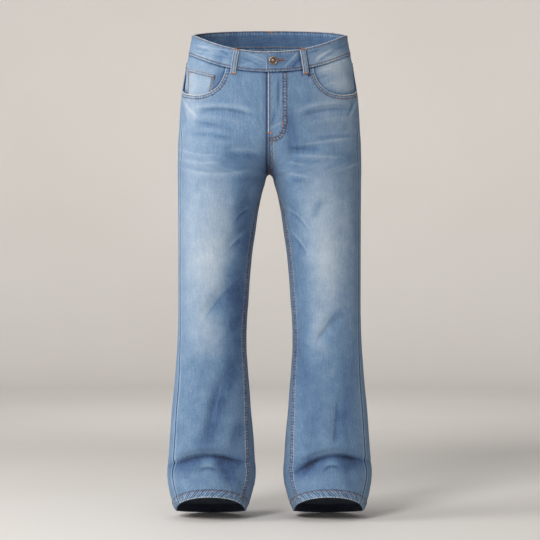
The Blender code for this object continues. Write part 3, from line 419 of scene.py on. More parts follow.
def half_ring(height, face):
    """One half of a ring: where its middle is, its half widths outward and inward, the middle
    line, its depth, and how square its outer and inner sides are."""
    outer, inner, front, back, middle, square = (smooth_line(SECTIONS, height, n) for n in range(1, 7))
    depth = np.where(face < 0, middle - front, back - middle)
    above = (height - CROTCH) / np.where(face < 0, FRONT_CURVE, BACK_CURVE)
    closing = (1.0 - np.clip(above, 0.0, 1.0) ** 1.5) ** 2
    joined = outer * closing / (1.0 + closing)
    parted = outer / 2.0 + inner / 2.0 * ease((CROTCH - height) / 0.080)
    hips = height >= CROTCH
    centre = np.where(hips, joined, parted)
    inward = np.where(hips, outer - joined, parted - inner)
    near_crotch = np.where(hips, (height - CROTCH) / 0.100, (CROTCH - height) / 0.150)
    inner_square = INSIDE_SQUARE + (square - INSIDE_SQUARE) * ease(near_crotch)
    return centre, outer - centre, inward, middle, depth, square, inner_square


def power(value, exponent):
    return np.sign(value) * np.abs(value) ** exponent


def ring(angle, height):
    """The bare surface, before folds. Rows dip at the front of the waist and arch at the hem."""
    face = np.where(np.sin(angle) < 0.0, -1, 1)
    centre, outward, inward, middle, depth, square, inner_square = half_ring(height, face)
    turned_in = np.cos(angle) < 0.0
    across = power(np.cos(angle), 2.0 / np.where(turned_in, inner_square, square))
    across = across * np.where(turned_in, inward, outward)
    out = power(np.sin(angle), 2.0 / square)
    waist = ease((height - DIP_FROM) / (SEAM - DIP_FROM))
    hem = 1.0 - ease(height / HEM_FADE)
    size = np.abs(out)
    front_lift = size * HEM_ARCH * hem - size**DIP_ROUND * FRONT_DIP * waist
    back_lift = size * (BACK_RISE * waist - HEM_DROP * hem)
    lift = np.where(face < 0, front_lift, back_lift)
    return np.stack([centre + across, middle + depth * out, height + lift], axis=-1)


def along_and_away(point, x_start, z_start, x_end, z_end, bow):
    """How far along a bowed line points are, as a share, and how far above it."""
    length = math.hypot(x_end - x_start, z_end - z_start)
    along_x, along_z = (x_end - x_start) / length, (z_end - z_start) / length
    from_x, from_z = point[..., 0] - x_start, point[..., 2] - z_start
    share = (from_x * along_x + from_z * along_z) / length
    upward = 1.0 if along_x > 0.0 else -1.0
    away = (from_z * along_x - from_x * along_z) * upward
    return share, away - bow * 4.0 * share * (1.0 - share)


def squares_to_metres(x, y):
    """A place in the photograph as distance from the centre line, height and side."""
    across = (x - MIDDLE_SQUARE[0]) * FRONT_SQUARE
    return abs(across), CAMERA_UP + (MIDDLE_SQUARE[1] - y) * FRONT_SQUARE, 1 if across > 0.0 else -1


def on_face(face, angle):
    """One on this face of the jeans and nought on the other."""
    return ease((face * np.sin(angle) + 0.25) / 0.5)


def drawn(table, point, angle, side):
    """What the creases or the whiskers of a table come to at these points."""
    total = np.zeros(angle.shape)
    for face, x_from, y_from, x_to, y_to, bow, above, below, amount in table:
        x_start, z_start, own_side = squares_to_metres(x_from, y_from)
        if own_side == side:
            x_end, z_end, _ = squares_to_metres(x_to, y_to)
            share, away = along_and_away(point, x_start, z_start, x_end, z_end, bow * FRONT_SQUARE)
            width = np.where(away > 0.0, above, below) * FRONT_SQUARE
            ends = ease(np.minimum(share, 1.0 - share) / 0.30)
            total += amount * on_face(face, angle) * ends * np.exp(-((away / width) ** 2))
    return total


def fold_offset(side, angle, point):
    """How far the folds and the small creases move the cloth out at these points."""
    total = np.zeros(angle.shape)
    for fold_side, face, *sizes in FOLDS:
        if fold_side == side:
            *line, width, sink = (size / 1000.0 for size in sizes)
            share, away = along_and_away(point, *line)
            near = (away / width) ** 2
            ends = ease(np.minimum(share, 1.0 - share) / 0.28)
            total -= sink * on_face(face, angle) * ends * np.exp(-near) * (1.0 - 0.7 * near)
    return total - drawn(CREASES, point, angle, side) / 1000.0


def surface(side, angle, height, out=0.0):
    """Points of the cloth for one side of the body, moved out from its outside."""
    angle, height, out = np.broadcast_arrays(angle, height, out)
    point = ring(angle, height)
    turn = ring(angle + 0.003, height) - ring(angle - 0.003, height)
    rise = ring(angle, height + 0.0003) - ring(angle, height - 0.0003)
    normal = np.cross(turn, rise)
    on_centre = (np.abs(point[..., 0]) < 1e-5) & (height > CROTCH - 1e-6)
    normal[..., 0] = np.where(on_centre, 0.0, normal[..., 0])
    at_crotch = on_centre & (height < CROTCH + 1e-6)
    normal = unit(np.where(at_crotch[..., None], np.array((0.0, 0.0, -1.0)), normal))
    point = point + normal * (fold_offset(side, angle, point) + out)[..., None]
    point[..., 0] *= side
    return point


def on_surface(side, angle, height, out):
    """Points of the cloth and the way out of it."""
    point = surface(side, angle, height, out)
    return point, unit(surface(side, angle, height, out + 0.001) - point)


def angle_at(x, height, face):
    """The angle at which this face of the ring is this far from the centre."""
    centre, outward, inward, _, _, square, inner_square = half_ring(height, face)
    away = x - centre
    share = np.clip(away / np.where(away < 0.0, inward, outward), -1.0, 1.0)
    exponent = np.where(away < 0.0, inner_square, square) / 2.0
    return face * np.arccos(np.clip(power(share, exponent), -1.0, 1.0))


def side_angle(height):
    """The side seam."""
    thigh = SIDE_THIGH * ease((0.905 - height) / 0.100)
    return -(SIDE_SEAM + thigh + SIDE_CALF * ease((0.450 - height) / 0.200))


def centre_angle(height, face, lap=0.0):
    """The panel's edge at the fly or centre back, and below the crotch at the inside seam."""
    upper = angle_at(-lap, np.maximum(height, CROTCH), face)
    turned = math.pi - INSIDE_SEAM * ease((CROTCH - height) / 0.10)
    turned = turned - INSIDE_CALF * ease((0.340 - height) / 0.250)
    lower = np.where(face < 0, -turned, 2.0 * math.pi - turned)
    return np.where(height > CROTCH + 1e-6, upper, lower)


def fly_angle(height):
    """The left front's edge, which laps over the right front at the fly."""
    return centre_angle(height, -1, FLY_LAP * ease((height - FLY_FROM) / 0.030))


def spread(start, stop, heights, shares):
    """Angles between two edges at shares of the way measured along the cloth."""
    start, stop, heights, shares = np.broadcast_arrays(start, stop, heights, shares)
    steps = np.linspace(0.0, 1.0, 61)
    angles = start[..., None] + (stop - start)[..., None] * steps
    points = ring(angles, np.broadcast_to(heights[..., None], angles.shape))
    lengths = np.linalg.norm(np.diff(points, axis=-2), axis=-1)
    run = np.concatenate([np.zeros(lengths.shape[:-1] + (1,)), np.cumsum(lengths, axis=-1)], axis=-1)
    run = run / run[..., -1:]
    after = np.clip((run < shares[..., None]).sum(axis=-1), 1, len(steps) - 1)
    low = np.take_along_axis(run, after[..., None] - 1, -1)[..., 0]
    high = np.take_along_axis(run, after[..., None], -1)[..., 0]
    share = np.clip((shares - low) / np.maximum(high - low, 1e-12), 0.0, 1.0)
    return start + (stop - start) * (steps[after - 1] + share * (steps[1] - steps[0]))


def panel_angles(start, heights, shares, face):
    """Angles of a panel's columns up to the side seam, with its steady column where it belongs."""
    steady = angle_at(STEADY_X + STEADY_MORE * ease((0.70 - heights) / 0.30), heights, face)
    steady_share = STEADY_SHARE[face]
    near = spread(start, steady, heights, np.clip(shares / steady_share, 0.0, 1.0))
    past = np.clip((shares - steady_share) / (1.0 - steady_share), 0.0, 1.0)
    return np.where(shares < steady_share, near, spread(steady, side_angle(heights), heights, past))


def share_angles(shares, heights):
    """Angles at shares across the front panel, measured at the hips."""
    return panel_angles(angle_at(0.0, heights, -1), heights, shares, -1)


def mouth_level(shares):
    """Heights of the pocket mouth at shares across the front panel; the waist seam before it."""
    true_height = smooth_line(MOUTH, np.maximum(shares, MOUTH_SHARE), 1)
    angle = share_angles(shares, np.full(np.shape(shares), 0.970))
    level = true_height
    for _ in range(8):
        level = level + (true_height - ring(angle, level)[..., 2])
    corner = ease((shares - MOUTH_SHARE) / 0.012)
    return np.where(shares <= MOUTH_SHARE, SEAM, SEAM + (np.minimum(level, SEAM) - SEAM) * corner)


def from_photo(x, y, side):
    """The angle and height at which the front's bare cloth shows at these squares of the photograph."""
    x, y = np.asarray(x, float) - MIDDLE_SQUARE[0], MIDDLE_SQUARE[1] - np.asarray(y, float)
    level = CAMERA_UP + y * SQUARE * CAMERA_AWAY
    depth = np.full(x.shape, -FRONT_DEPTH)
    for _ in range(8):
        metre = SQUARE * (CAMERA_AWAY + depth)
        angle = angle_at(x * metre * side, level, -1)
        point = ring(angle, level)
        depth = point[..., 1]
        level = level + (CAMERA_UP + y * metre - point[..., 2])
    return angle, level


def run_of(line):
    """How far along a line of points each of them lies."""
    return np.concatenate([[0.0], np.cumsum(np.linalg.norm(np.diff(line, axis=0), axis=1))])


def at_run(at, run, line):
    """Places at these distances along a line of points."""
    return np.stack([np.interp(at, run, line[:, n]) for n in range(3)], -1)


def even_line(x, y):
    """Points of the photograph joined by a smooth line with a point about every 0.6 squares."""
    points = np.stack([x, y], -1)
    run = run_of(points)
    slopes = np.gradient(points, run, axis=0)
    at = np.linspace(0.0, run[-1], max(3, int(run[-1] / 0.6)))
    row = np.clip(np.searchsorted(run, at, side="right") - 1, 0, len(run) - 2)
    width = run[row + 1] - run[row]
    line = between(points, slopes, row, ((at - run[row]) / width)[:, None], width[:, None])
    return line[:, 0], line[:, 1]


def fine_line(line):
    """The line with a point about every 0.8 millimetres."""
    run = run_of(line)
    return at_run(np.linspace(0.0, run[-1], max(2, int(run[-1] / 0.0008))), run, line)


# ---------------------------------------------------------------- making meshes
def add_piece(name, points, quads, finishes, finish_of=None, marks=None, ride=True):
    """An object from arrays: points, four-sided faces, each face's finish and numbers a point."""
    mesh = bpy.data.meshes.new(name)
    mesh.vertices.add(len(points))
    mesh.vertices.foreach_set("co", (points - np.array((0.0, 0.0, WAIST))).astype(np.float32).ravel())
    corners = quads.ravel().astype(np.int32)
    mesh.loops.add(len(corners))
    mesh.loops.foreach_set("vertex_index", corners)
    mesh.polygons.add(len(quads))
    mesh.polygons.foreach_set("loop_start", (np.arange(len(quads)) * 4).astype(np.int32))
    if finish_of is not None:
        mesh.polygons.foreach_set("material_index", np.asarray(finish_of, np.int32))
    mesh.polygons.foreach_set("use_smooth", np.ones(len(quads), bool))
    mesh.update(calc_edges=True)
    mesh.validate()
    for mark, values in (marks or {}).items():
        kind, field = ("FLOAT", "value") if values.ndim == 1 else ("FLOAT_VECTOR", "vector")
        layer = mesh.attributes.new(mark, kind, "POINT")
        layer.data.foreach_set(field, values.astype(np.float32).ravel())
    piece = bpy.data.objects.new(name, mesh)
    for finish in finishes:
        mesh.materials.append(finish)
    bpy.context.scene.collection.objects.link(piece)
    if ride:
        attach(piece, "root")
    return piece


def facing_out(points, quads):
    """The quads turned so that a closed body's faces look outwards."""
    a, b, c, d = (points[quads[:, n]] for n in range(4))
    size = (a * np.cross(b, c)).sum() + (a * np.cross(c, d)).sum()
    return quads if size > 0.0 else quads[:, ::-1]


def round_quads(rows, turns):
    """The faces between rings of points, ring after ring."""
    here = np.arange(turns)
    quad = np.stack([here, (here + 1) % turns, (here + 1) % turns + turns, here + turns], 1)
    return (quad[None] + (np.arange(rows - 1) * turns)[:, None, None]).reshape(-1, 4)


def cloth(node, outside, inside, marks, finishes):
    """A cloth wall between two grids, with its face and its reverse: a sheet in place of a node."""
    rows, columns = outside.shape[:2]
    number = np.arange(rows * columns).reshape(rows, columns)
    low, right = number[:-1, :-1].ravel(), number[:-1, 1:].ravel()
    up, far = number[1:, :-1].ravel(), number[1:, 1:].ravel()
    skin = np.stack([low, right, far, up], 1)
    rim = np.concatenate([number[0], number[1:, -1], number[-1, -2::-1], number[-2:0:-1, 0]])
    ahead = np.roll(rim, -1)
    back = rows * columns
    edge = np.stack([ahead, rim, rim + back, ahead + back], 1)
    quads = np.concatenate([skin, skin[:, ::-1] + back, edge])
    finish_of = np.concatenate([np.zeros(len(skin)), np.ones(len(skin)), np.zeros(len(edge))])
    points = np.concatenate([outside.reshape(-1, 3), inside.reshape(-1, 3)])
    both = {}
    for mark, values in marks.items():
        grid = np.broadcast_to(values, (rows, columns) + np.shape(values)[2:])
        flat = grid.reshape(-1, *grid.shape[2:])
        both[mark] = np.concatenate([flat, flat])
    piece = add_piece("cloth_" + node, points, facing_out(points, quads), finishes, finish_of, both)
    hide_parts(node)


def nearest(points, line, reach=0.030):
    """How far points are from a line of close points, up to reach, and how far along it they are."""
    flat = points.reshape(-1, 3)
    away = np.full(len(flat), reach)
    along = np.zeros(len(flat))
    inside = np.all((flat > line.min(0) - reach) & (flat < line.max(0) + reach), axis=1)
    chosen = np.nonzero(inside)[0]
    run = run_of(line)
    heading = unit(np.gradient(line, axis=0))
    for start in range(0, len(chosen), 3000):
        block = chosen[start : start + 3000]
        gap = ((flat[block, None, :] - line[None, :, :]) ** 2).sum(-1)
        pick = gap.argmin(1)
        step = flat[block] - line[pick]
        ahead = (step * heading[pick]).sum(1)
        aside = np.sqrt(np.maximum((step**2).sum(1) - ahead**2, 0.0))
        past = (pick == 0) & (ahead < 0.0) | (pick == len(line) - 1) & (ahead > 0.0)
        away[block] = np.minimum(np.where(past, np.sqrt((step**2).sum(1)), aside), reach)
        along[block] = run[pick] + ahead
    return away.reshape(points.shape[:-1]), along.reshape(points.shape[:-1])


def wash_and_shade_at(side, angle, height):
    """How pale the cloth is painted: the wash, and painted shade under the stacked folds at the ankles and
    under the lap fold; nought is deep blue, one is nearly white.
    """
    point = ring(angle, height)
    total = PLAIN_FADE + drawn(WHISKERS_AND_FOLD_SHADE, point, angle, side)
    for face, x, y, across, down, lean, amount in SPOTS:
        x_middle, z_middle, own_side = squares_to_metres(x, y)
        if own_side == side:
            turn = math.radians(lean) * side
            from_x, from_z = point[..., 0] - x_middle, point[..., 2] - z_middle
            over = (from_x * math.cos(turn) + from_z * math.sin(turn)) / (across * FRONT_SQUARE)
            up = (from_z * math.cos(turn) - from_x * math.sin(turn)) / (down * FRONT_SQUARE)
            total += amount * on_face(face, angle) * np.exp(-((over**2 + up**2) ** 1.5))
    return total


def groove(*rows):
    """One on a row of stitches, where the cloth is drawn in and painted dark as shade and dirt in the
    groove, and nought away from it.
    """
    return np.max([dent(away, 0.0, GROOVE) for away in rows], axis=0)


def side_seam(from_seam):
    """A dark line at the side seam and a pale ridge beside it."""
    return 0.8 * dent(from_seam, 0.0, 0.0014) - 0.45 * dent(from_seam, 0.0045, 0.0015)


def under_band(heights):
    """The shadow under the waistband."""
    return 0.8 * dent(np.maximum(SEAM - heights, 0.0), 0.0, 0.0022)


def loop_shade(side, point):
    """The shadow beside the left front belt loop, deeper on the wearer's left of it."""
    foot_x, top_x, foot, top = FRONT_LOOP
    share = (point[..., 2] - foot) / (top - foot)
    over = point[..., 0] - (foot_x + (top_x - foot_x) * share)
    held = ease((share + 0.06) / 0.05) * ease((1.06 - share) / 0.05)
    near = ease((np.abs(over) - 0.0050) / 0.0010) * dent(np.abs(over), 0.0070, 0.0030)
    return held * near * np.where(over > 0.0, 1.15, 0.50) * (side > 0)


def rounded(distance, thick):
    """How far the outside sinks towards a folded edge, so that the edge is round."""
    radius = thick / 2.0
    into = 1.0 - np.clip(distance / radius, 0.0, 1.0)
    return radius * (1.0 - np.sqrt(1.0 - into**2))


# ---------------------------------------------------------------- finishes
class Value:
    """A socket that takes part in sums, so that shader maths reads as a formula."""

    def __init__(self, finish, socket):
        self.finish = finish
        self.socket = socket

    def __add__(self, other):
        return self.finish.maths("ADD", self, other)

    def __sub__(self, other):
        return self.finish.maths("SUBTRACT", self, other)

    def __rsub__(self, other):
        return self.finish.maths("SUBTRACT", other, self)

    def __mul__(self, other):
        return self.finish.maths("MULTIPLY", self, other)

    __radd__ = __add__
    __rmul__ = __mul__


class Finish:
    """One material. Numbers that are the same all over are set on the shader's own sockets."""

    def __init__(self, name, **fixed):
        self.material = bpy.data.materials.new(name)
        self.material.use_nodes = True
        self.tree = self.material.node_tree
        self.shader = self.tree.nodes["Principled BSDF"]
        for socket, value in fixed.items():
            self.shader.inputs[socket.replace("_", " ")].default_value = value

    def node(self, kind, settings=None, sockets=None, output=0):
        """A node with its settings first, then the numbers or links of its sockets."""
        made = self.tree.nodes.new(kind)
        for setting, value in (settings or {}).items():
            if setting == "stops":
                ramp = made.color_ramp
                while len(ramp.elements) < len(value):
                    ramp.elements.new(0.5)
                for stop, (place, *colour) in zip(ramp.elements, value):
                    stop.position = place
                    stop.color = (*screen(*colour), 1.0)
            else:
                setattr(made, setting, value)
        for socket, value in (sockets or {}).items():
            self.fill(made.inputs[socket], value)
        return Value(self, made.outputs[output])

    def fill(self, socket, value):
        if isinstance(value, Value):
            self.tree.links.new(value.socket, socket)
        else:
            socket.default_value = value

    def maths(self, operation, *values):
        return self.node("ShaderNodeMath", {"operation": operation}, dict(enumerate(values)))

    def soft_step(self, value, low, high):
        settings = {"interpolation_type": "SMOOTHSTEP"}
        return self.node("ShaderNodeMapRange", settings, {0: value, 1: low, 2: high})

    def mark(self, name, output="Fac"):
        return self.node("ShaderNodeAttribute", {"attribute_name": name}, output=output)

    def stretched(self, vector, *scale):
        return self.node("ShaderNodeVectorMath", {"operation": "MULTIPLY"}, {0: vector, 1: scale})

    def noise(self, vector, scale, detail, rough):
        """Fractal noise about its middle of one half."""
        sockets = {"Vector": vector, "Scale": scale, "Detail": detail, "Roughness": rough}
        return self.node("ShaderNodeTexNoise", None, sockets)

    def diagonal(self, vector, scale, distortion):
        settings = {"wave_type": "BANDS", "bands_direction": "DIAGONAL"}
        sockets = {"Vector": vector, "Scale": scale, "Distortion": distortion}
        return self.node("ShaderNodeTexWave", settings, sockets)

    def mix(self, share, first, second):
        return self.node("ShaderNodeMix", {"data_type": "RGBA"}, {0: share, 6: first, 7: second}, output=2)

    def ramp(self, value, *stops):
        """Colours as a screen shows them, each after its place along the ramp."""
        return self.node("ShaderNodeValToRGB", {"stops": stops}, {0: value})

    def bump(self, height, depth):
        """A bump whose height of one stands for this depth in metres."""
        sockets = {"Height": height, "Strength": 1.0, "Distance": depth}
        return self.node("ShaderNodeBump", None, sockets)

    def paint(self, **links):
        for socket, value in links.items():
            self.fill(self.shader.inputs[socket.replace("_", " ")], value)
        return self.material


def screen(*colour):
    """A colour as a screen shows it, 0 to 255, turned into light."""
    return tuple(c / 255.0 / 12.92 if c < 11 else ((c / 255.0 + 0.055) / 1.055) ** 2.4 for c in colour)


def denim_face():
    """The blue face: washed colour with painted shade, slubs, twill, worn edges and ridged seams."""
    finish = Finish("washed denim", Roughness=0.88, Sheen_Weight=0.05, Sheen_Roughness=0.6)
    grain = finish.mark("grain", "Vector")
    fade, edge, seam, along, dark = (finish.mark(name) for name in ("fade", "edge", "seam", "along", "dark"))
    streak = finish.noise(finish.stretched(grain, 300.0, 26.0, 1.0), 1.0, 2.0, 0.6)
    slub = finish.noise(finish.stretched(grain, 1100.0, 90.0, 1.0), 1.0, 1.0, 0.5)
    weft = finish.noise(finish.stretched(grain, 70.0, 800.0, 1.0), 1.0, 1.0, 0.5)
    cloud = finish.noise(grain, 34.0, 3.0, 0.6)
    speck = finish.noise(grain, 900.0, 2.0, 0.7)
    mottle = finish.noise(grain, 330.0, 2.0, 0.6)
    twill = finish.diagonal(finish.stretched(grain, 1.0, 0.55, 0.0), 330.0, 0.6)
    wobble = finish.noise(finish.stretched(grain, 60.0, 60.0, 1.0), 1.0, 1.0, 0.5)
    ridges = finish.maths("SINE", along * (2.0 * math.pi / 0.0064) + wobble * 7.0)
    broad = finish.maths("SINE", along * (2.0 * math.pi / 0.0170) + wobble * 11.0)
    roped = 1.0 - finish.soft_step(seam, 0.0, 0.0009)
    beside = 0.30 * (1.0 - finish.soft_step(seam, 0.0010, 0.0085)) + 0.70 * roped
    pucker = (ridges * 0.65 + broad * 0.35) * beside
    worn = (1.0 - finish.soft_step(edge, 0.0008, 0.0036)) * (0.7 + 0.6 * speck)
    tone = fade + (streak - 0.5) * 0.20 + (slub - 0.5) * 0.20 + (weft - 0.5) * 0.10 + (mottle - 0.5) * 0.26
    tone = tone + (cloud - 0.5) * 0.26 + (speck - 0.5) * 0.24 + (twill - 0.5) * 0.05
    # dark: painted shade under the waistband, beside the fly and the left front loop and in the pocket
    # mouths, with darkened stitch grooves and seams
    tone = tone + worn * 0.36 + pucker * 0.31 - dark * 0.50
    blues = (0.00, 22, 37, 64), (0.22, 58, 86, 126), (0.45, 95, 125, 157)
    pales = (0.68, 136, 157, 180), (0.88, 168, 182, 196), (1.00, 196, 204, 212)
    height = pucker * 0.90 + twill * 0.10 + (slub + weft) * 0.10 + speck * 0.12
    finish.paint(Base_Color=finish.ramp(tone, *blues, *pales), Normal=finish.bump(height, 0.0008))
    return finish.paint(Roughness=0.92 - worn * 0.10)


def denim_reverse():
    """The inside, where the white weft shows, painted dark as shade inside the legs; the turned-up hem shows
    its blue face, painted near black as shade.
    """
    finish = Finish("reverse of the denim", Roughness=0.9, Sheen_Weight=0.1, Sheen_Roughness=0.6)
    grain = finish.mark("grain", "Vector")
    slub = finish.noise(finish.stretched(grain, 700.0, 70.0, 1.0), 1.0, 2.0, 0.6)
    speck = finish.noise(grain, 1100.0, 2.0, 0.7)
    cloud = finish.noise(grain, 30.0, 2.0, 0.6)
    twill = finish.diagonal(finish.stretched(grain, -1.0, 0.55, 0.0), 330.0, 0.6)
    tone = (slub - 0.5) * 0.5 + (speck - 0.5) * 0.3 + (cloud - 0.5) * 0.3 + twill * 0.15 + 0.45
    # both ramps are painted darker than the cloth is, as shade inside the legs and the hems
    pale = finish.ramp(tone, (0.0, 52, 62, 76), (1.0, 112, 122, 136))
    deep = finish.ramp(tone, (0.0, 20, 27, 40), (1.0, 52, 70, 98))
    finish.paint(Base_Color=finish.mix(finish.mark("blue"), pale, deep))
    return finish.paint(Normal=finish.bump(twill * 0.4 + slub * 0.3 + speck * 0.3, 0.0005))


def thread_finish(name, dark, light):
    """Twisted sewing thread."""
    finish = Finish(name, Roughness=0.62, Sheen_Weight=0.2, Sheen_Roughness=0.4)
    place = finish.node("ShaderNodeTexCoord", output="Object")
    ply = finish.diagonal(place, 900.0, 1.5)
    wear = finish.noise(place, 120.0, 2.0, 0.6)
    colour = finish.ramp(wear * 0.8 + ply * 0.25, (0.25, *dark), (0.85, *light))
    return finish.paint(Base_Color=colour, Normal=finish.bump(ply, 0.00012))


def brass_finish():
    """Aged brass: dark in the hollows, rubbed bright on the high rings."""
    finish = Finish("aged brass", Metallic=1.0, Specular_IOR_Level=0.5)
    place = finish.node("ShaderNodeTexCoord", output="Object")
    rub = finish.noise(place, 900.0, 3.0, 0.6)
    grime = finish.noise(place, 260.0, 2.0, 0.5)
    high = finish.mark("high")
    tone = high * 0.75 + (rub - 0.5) * 0.5 + (grime - 0.5) * 0.4 + 0.1
    colour = finish.ramp(tone, (0.0, 34, 30, 28), (0.5, 108, 95, 85), (1.0, 172, 155, 139))
    finish.paint(Base_Color=colour, Roughness=0.52 - 0.2 * high + (grime - 0.5) * 0.2)
    return finish.paint(Normal=finish.bump(rub, 0.00008))


def floor_finish():
    finish = Finish("pale studio floor", Roughness=0.7)
    cloud = finish.noise(finish.node("ShaderNodeTexCoord", output="Object"), 1.1, 3.0, 0.5)
    return finish.paint(Base_Color=finish.ramp(cloud, (0.2, 230, 226, 221), (0.8, 236, 232, 228)))


FACE = denim_face()
CLOTH = (FACE, denim_reverse())
BLUE_BOTH = (FACE, FACE)
BROWN = thread_finish("brown topstitch thread", (86, 60, 40), (156, 112, 72))
ORANGE = thread_finish("orange bartack thread", (136, 78, 32), (206, 132, 60))


# ---------------------------------------------------------------- sewing
class Sewing:
    """Collects stitches, each a short raised tube of thread, and makes them one piece."""

    def __init__(self, name, finish):
        self.name = name
        self.finish = finish
        self.starts, self.ends, self.normals = [], [], []

    def stitches(self, start, end, normal):
        self.starts.append(start)
        self.ends.append(end)
        self.normals.append(normal)

    def row(self, line, normals):
        """Stitches along a line of close points on the cloth."""
        run = run_of(line)
        count = max(1, int(run[-1] / STITCH))
        step = run[-1] / count
        begin = (np.arange(count) + (1.0 - STITCH_SHARE) / 2.0) * step
        start, end = at_run(begin, run, line), at_run(begin + STITCH_SHARE * step, run, line)
        self.stitches(start, end, at_run(begin, run, normals))

    def on_cloth(self, side, angles, heights, out):
        """A row of stitches this far above the bare surface."""
        self.row(*on_surface(side, angles, heights, out + 0.0001))

    def beside(self, side, angles, levels, distance, out=0.0004):
        """A row of stitches at this distance from a line on the cloth."""
        self.on_cloth(side, *beside(side, angles, levels, distance), out)

    def bar(self, centre, along, up, length, height):
        """A bartack: close stitches side by side along its length."""
        count = max(3, int(length / BAR_STITCH))
        at = (np.arange(count) / (count - 1) - 0.5)[:, None] * length
        normal = np.cross(along, up)
        middle = centre + along * at + normal * 0.0003
        half = up * height / 2.0
        self.stitches(middle - half, middle + half, np.repeat(normal[None], count, 0))

    def bar_on_cloth(self, side, x, y, lean, length, height, out):
        """A bartack at a place of the photograph, leaning by degrees from level."""
        points, normals = on_surface(side, *from_photo((x, x + 0.4), (y, y), side), out)
        self.bar(*bar_frame(points[0], points[1] - points[0], normals[0], lean), length, height)

    def finished(self):
        """The stitches as tubes of thread that come out of the cloth and go back into it."""
        start, end, normal = (np.concatenate(part) for part in (self.starts, self.ends, self.normals))
        rings, sides = 5, 6
        across = unit(np.cross(unit(end - start), normal))
        share = np.linspace(0.0, 1.0, rings)
        lift = np.array((-0.00030, 0.00022, 0.00036, 0.00022, -0.00030))
        fat = np.array((0.70, 0.97, 1.0, 0.97, 0.70)) * THREAD
        centre = start[:, None] + (end - start)[:, None] * share[None, :, None]
        centre = centre + normal[:, None] * lift[None, :, None]
        turn = np.arange(sides) / sides * 2.0 * math.pi
        arm = across[:, None, None] * np.cos(turn)[None, None, :, None]
        arm = arm + normal[:, None, None] * (np.sin(turn) * 0.75)[None, None, :, None]
        points = (centre[:, :, None] + arm * fat[None, :, None, None]).reshape(-1, 3)
        first = np.arange(len(start))[:, None] * rings * sides
        tubes = (first[:, None] + round_quads(rings, sides)).reshape(-1, 4)
        caps = np.array(((0, 3, 2, 1), (0, 5, 4, 3), (24, 25, 26, 27), (24, 27, 28, 29)))
        quads = np.concatenate([tubes, *(first + cap for cap in caps)])
        return add_piece(self.name, points, facing_out(points, quads), [self.finish])


def bar_frame(centre, along, normal, lean):
    """A bartack's centre, its long and its short direction, turned by lean degrees on the cloth."""
    along = unit(along - normal * along.dot(normal))
    up = np.cross(normal, along)
    turn = math.radians(lean)
    return centre, along * math.cos(turn) + up * math.sin(turn), up * math.cos(turn) - along * math.sin(turn)


brown = {}
orange = {}
for part in ("front_left", "front_right", "back_left", "back_right", "waistband", "pockets", "loops"):
    brown[part] = Sewing("topstitching_" + part, BROWN)
    orange[part] = Sewing("bartacks_" + part, ORANGE)


# ---------------------------------------------------------------- the panels
SIDES = {1: "left", -1: "right"}


def both_ends(close, first, count):
    """Shares from nought to one: a few close to both ends and even ones between them."""
    close = np.array(close)
    return np.concatenate([close, np.linspace(first, 1.0 - first, count), 1.0 - close[::-1]])


def close_ends(count, size):
    """Shares across a piece of this size, with fine ones at both edges."""
    return both_ends(FINE_ENDS / size, 0.0040 / size, count)


def panel_levels(tops):
    """Rows of the fine cloth: close together at the hem and over the ankle, and at the top edge."""
    lower = np.concatenate([FINE_ENDS, np.arange(0.0038, 0.140, 0.0019), np.arange(0.1420, 0.910, STEP)])
    steps = np.linspace(0.0, 1.0, 30)[1:, None]
    upper = lower[-1] + (tops - 0.0032 - lower[-1]) * steps
    ends = tops - FINE_ENDS[::-1, None]
    return np.concatenate([np.repeat(lower[:, None], len(tops), 1), upper, ends])


def runs(points):
    """Distances along the cloth from the first and last column and from the first and last row."""
    across = np.linalg.norm(np.diff(points, axis=1), axis=-1)
    across = np.concatenate([np.zeros((len(points), 1)), np.cumsum(across, 1)], 1)
    down = np.linalg.norm(np.diff(points, axis=0), axis=-1)
    down = np.concatenate([np.zeros((1, points.shape[1])), np.cumsum(down, 0)])
    return across, across[:, -1:] - across, down, down[-1:] - down


def flat_size(points):
    """Width, length and area of a piece of cloth laid flat."""
    across, _, down, _ = runs(points)
    low, right, up, far = points[:-1, :-1], points[:-1, 1:], points[1:, :-1], points[1:, 1:]
    one = np.linalg.norm(np.cross(up - low, right - low), axis=-1)
    two = np.linalg.norm(np.cross(up - far, right - far), axis=-1)
    width, length = float(across[:, -1].max()), float(down[-1].max())
    return (width, length), min(float((one + two).sum() / 2.0), width * length)


def closest(*seams):
    """The distance to the closest of several seams and how far along it each point is."""
    away, along = seams[0]
    for distance, run in seams[1:]:
        along = np.where(distance < away, run, along)
        away = np.minimum(distance, away)
    return away, along


def beside(side, angles, levels, distance):
    """A line moved across the cloth by this distance, to the left of its direction seen from outside."""
    place = surface(side, angles, levels)
    turned = (surface(side, angles + 0.002, levels) - place) / 0.002
    raised = (surface(side, angles, levels + 0.0005) - place) / 0.0005
    ahead = unit(np.gradient(place, axis=0))
    aim = np.cross(unit(np.cross(turned, raised) * side), ahead) * distance
    a, b, c = (turned * turned).sum(1), (turned * raised).sum(1), (raised * raised).sum(1)
    p, q = (aim * turned).sum(1), (aim * raised).sum(1)
    det = a * c - b * b
    return angles + (p * c - q * b) / det, levels + (q * a - p * b) / det


def raised_line(side, angles, levels, distance):
    """A level line moved up the cloth by this distance."""
    line = beside(side, angles, levels, distance)
    return line if line[1].mean() > levels.mean() else beside(side, angles, levels, -distance)


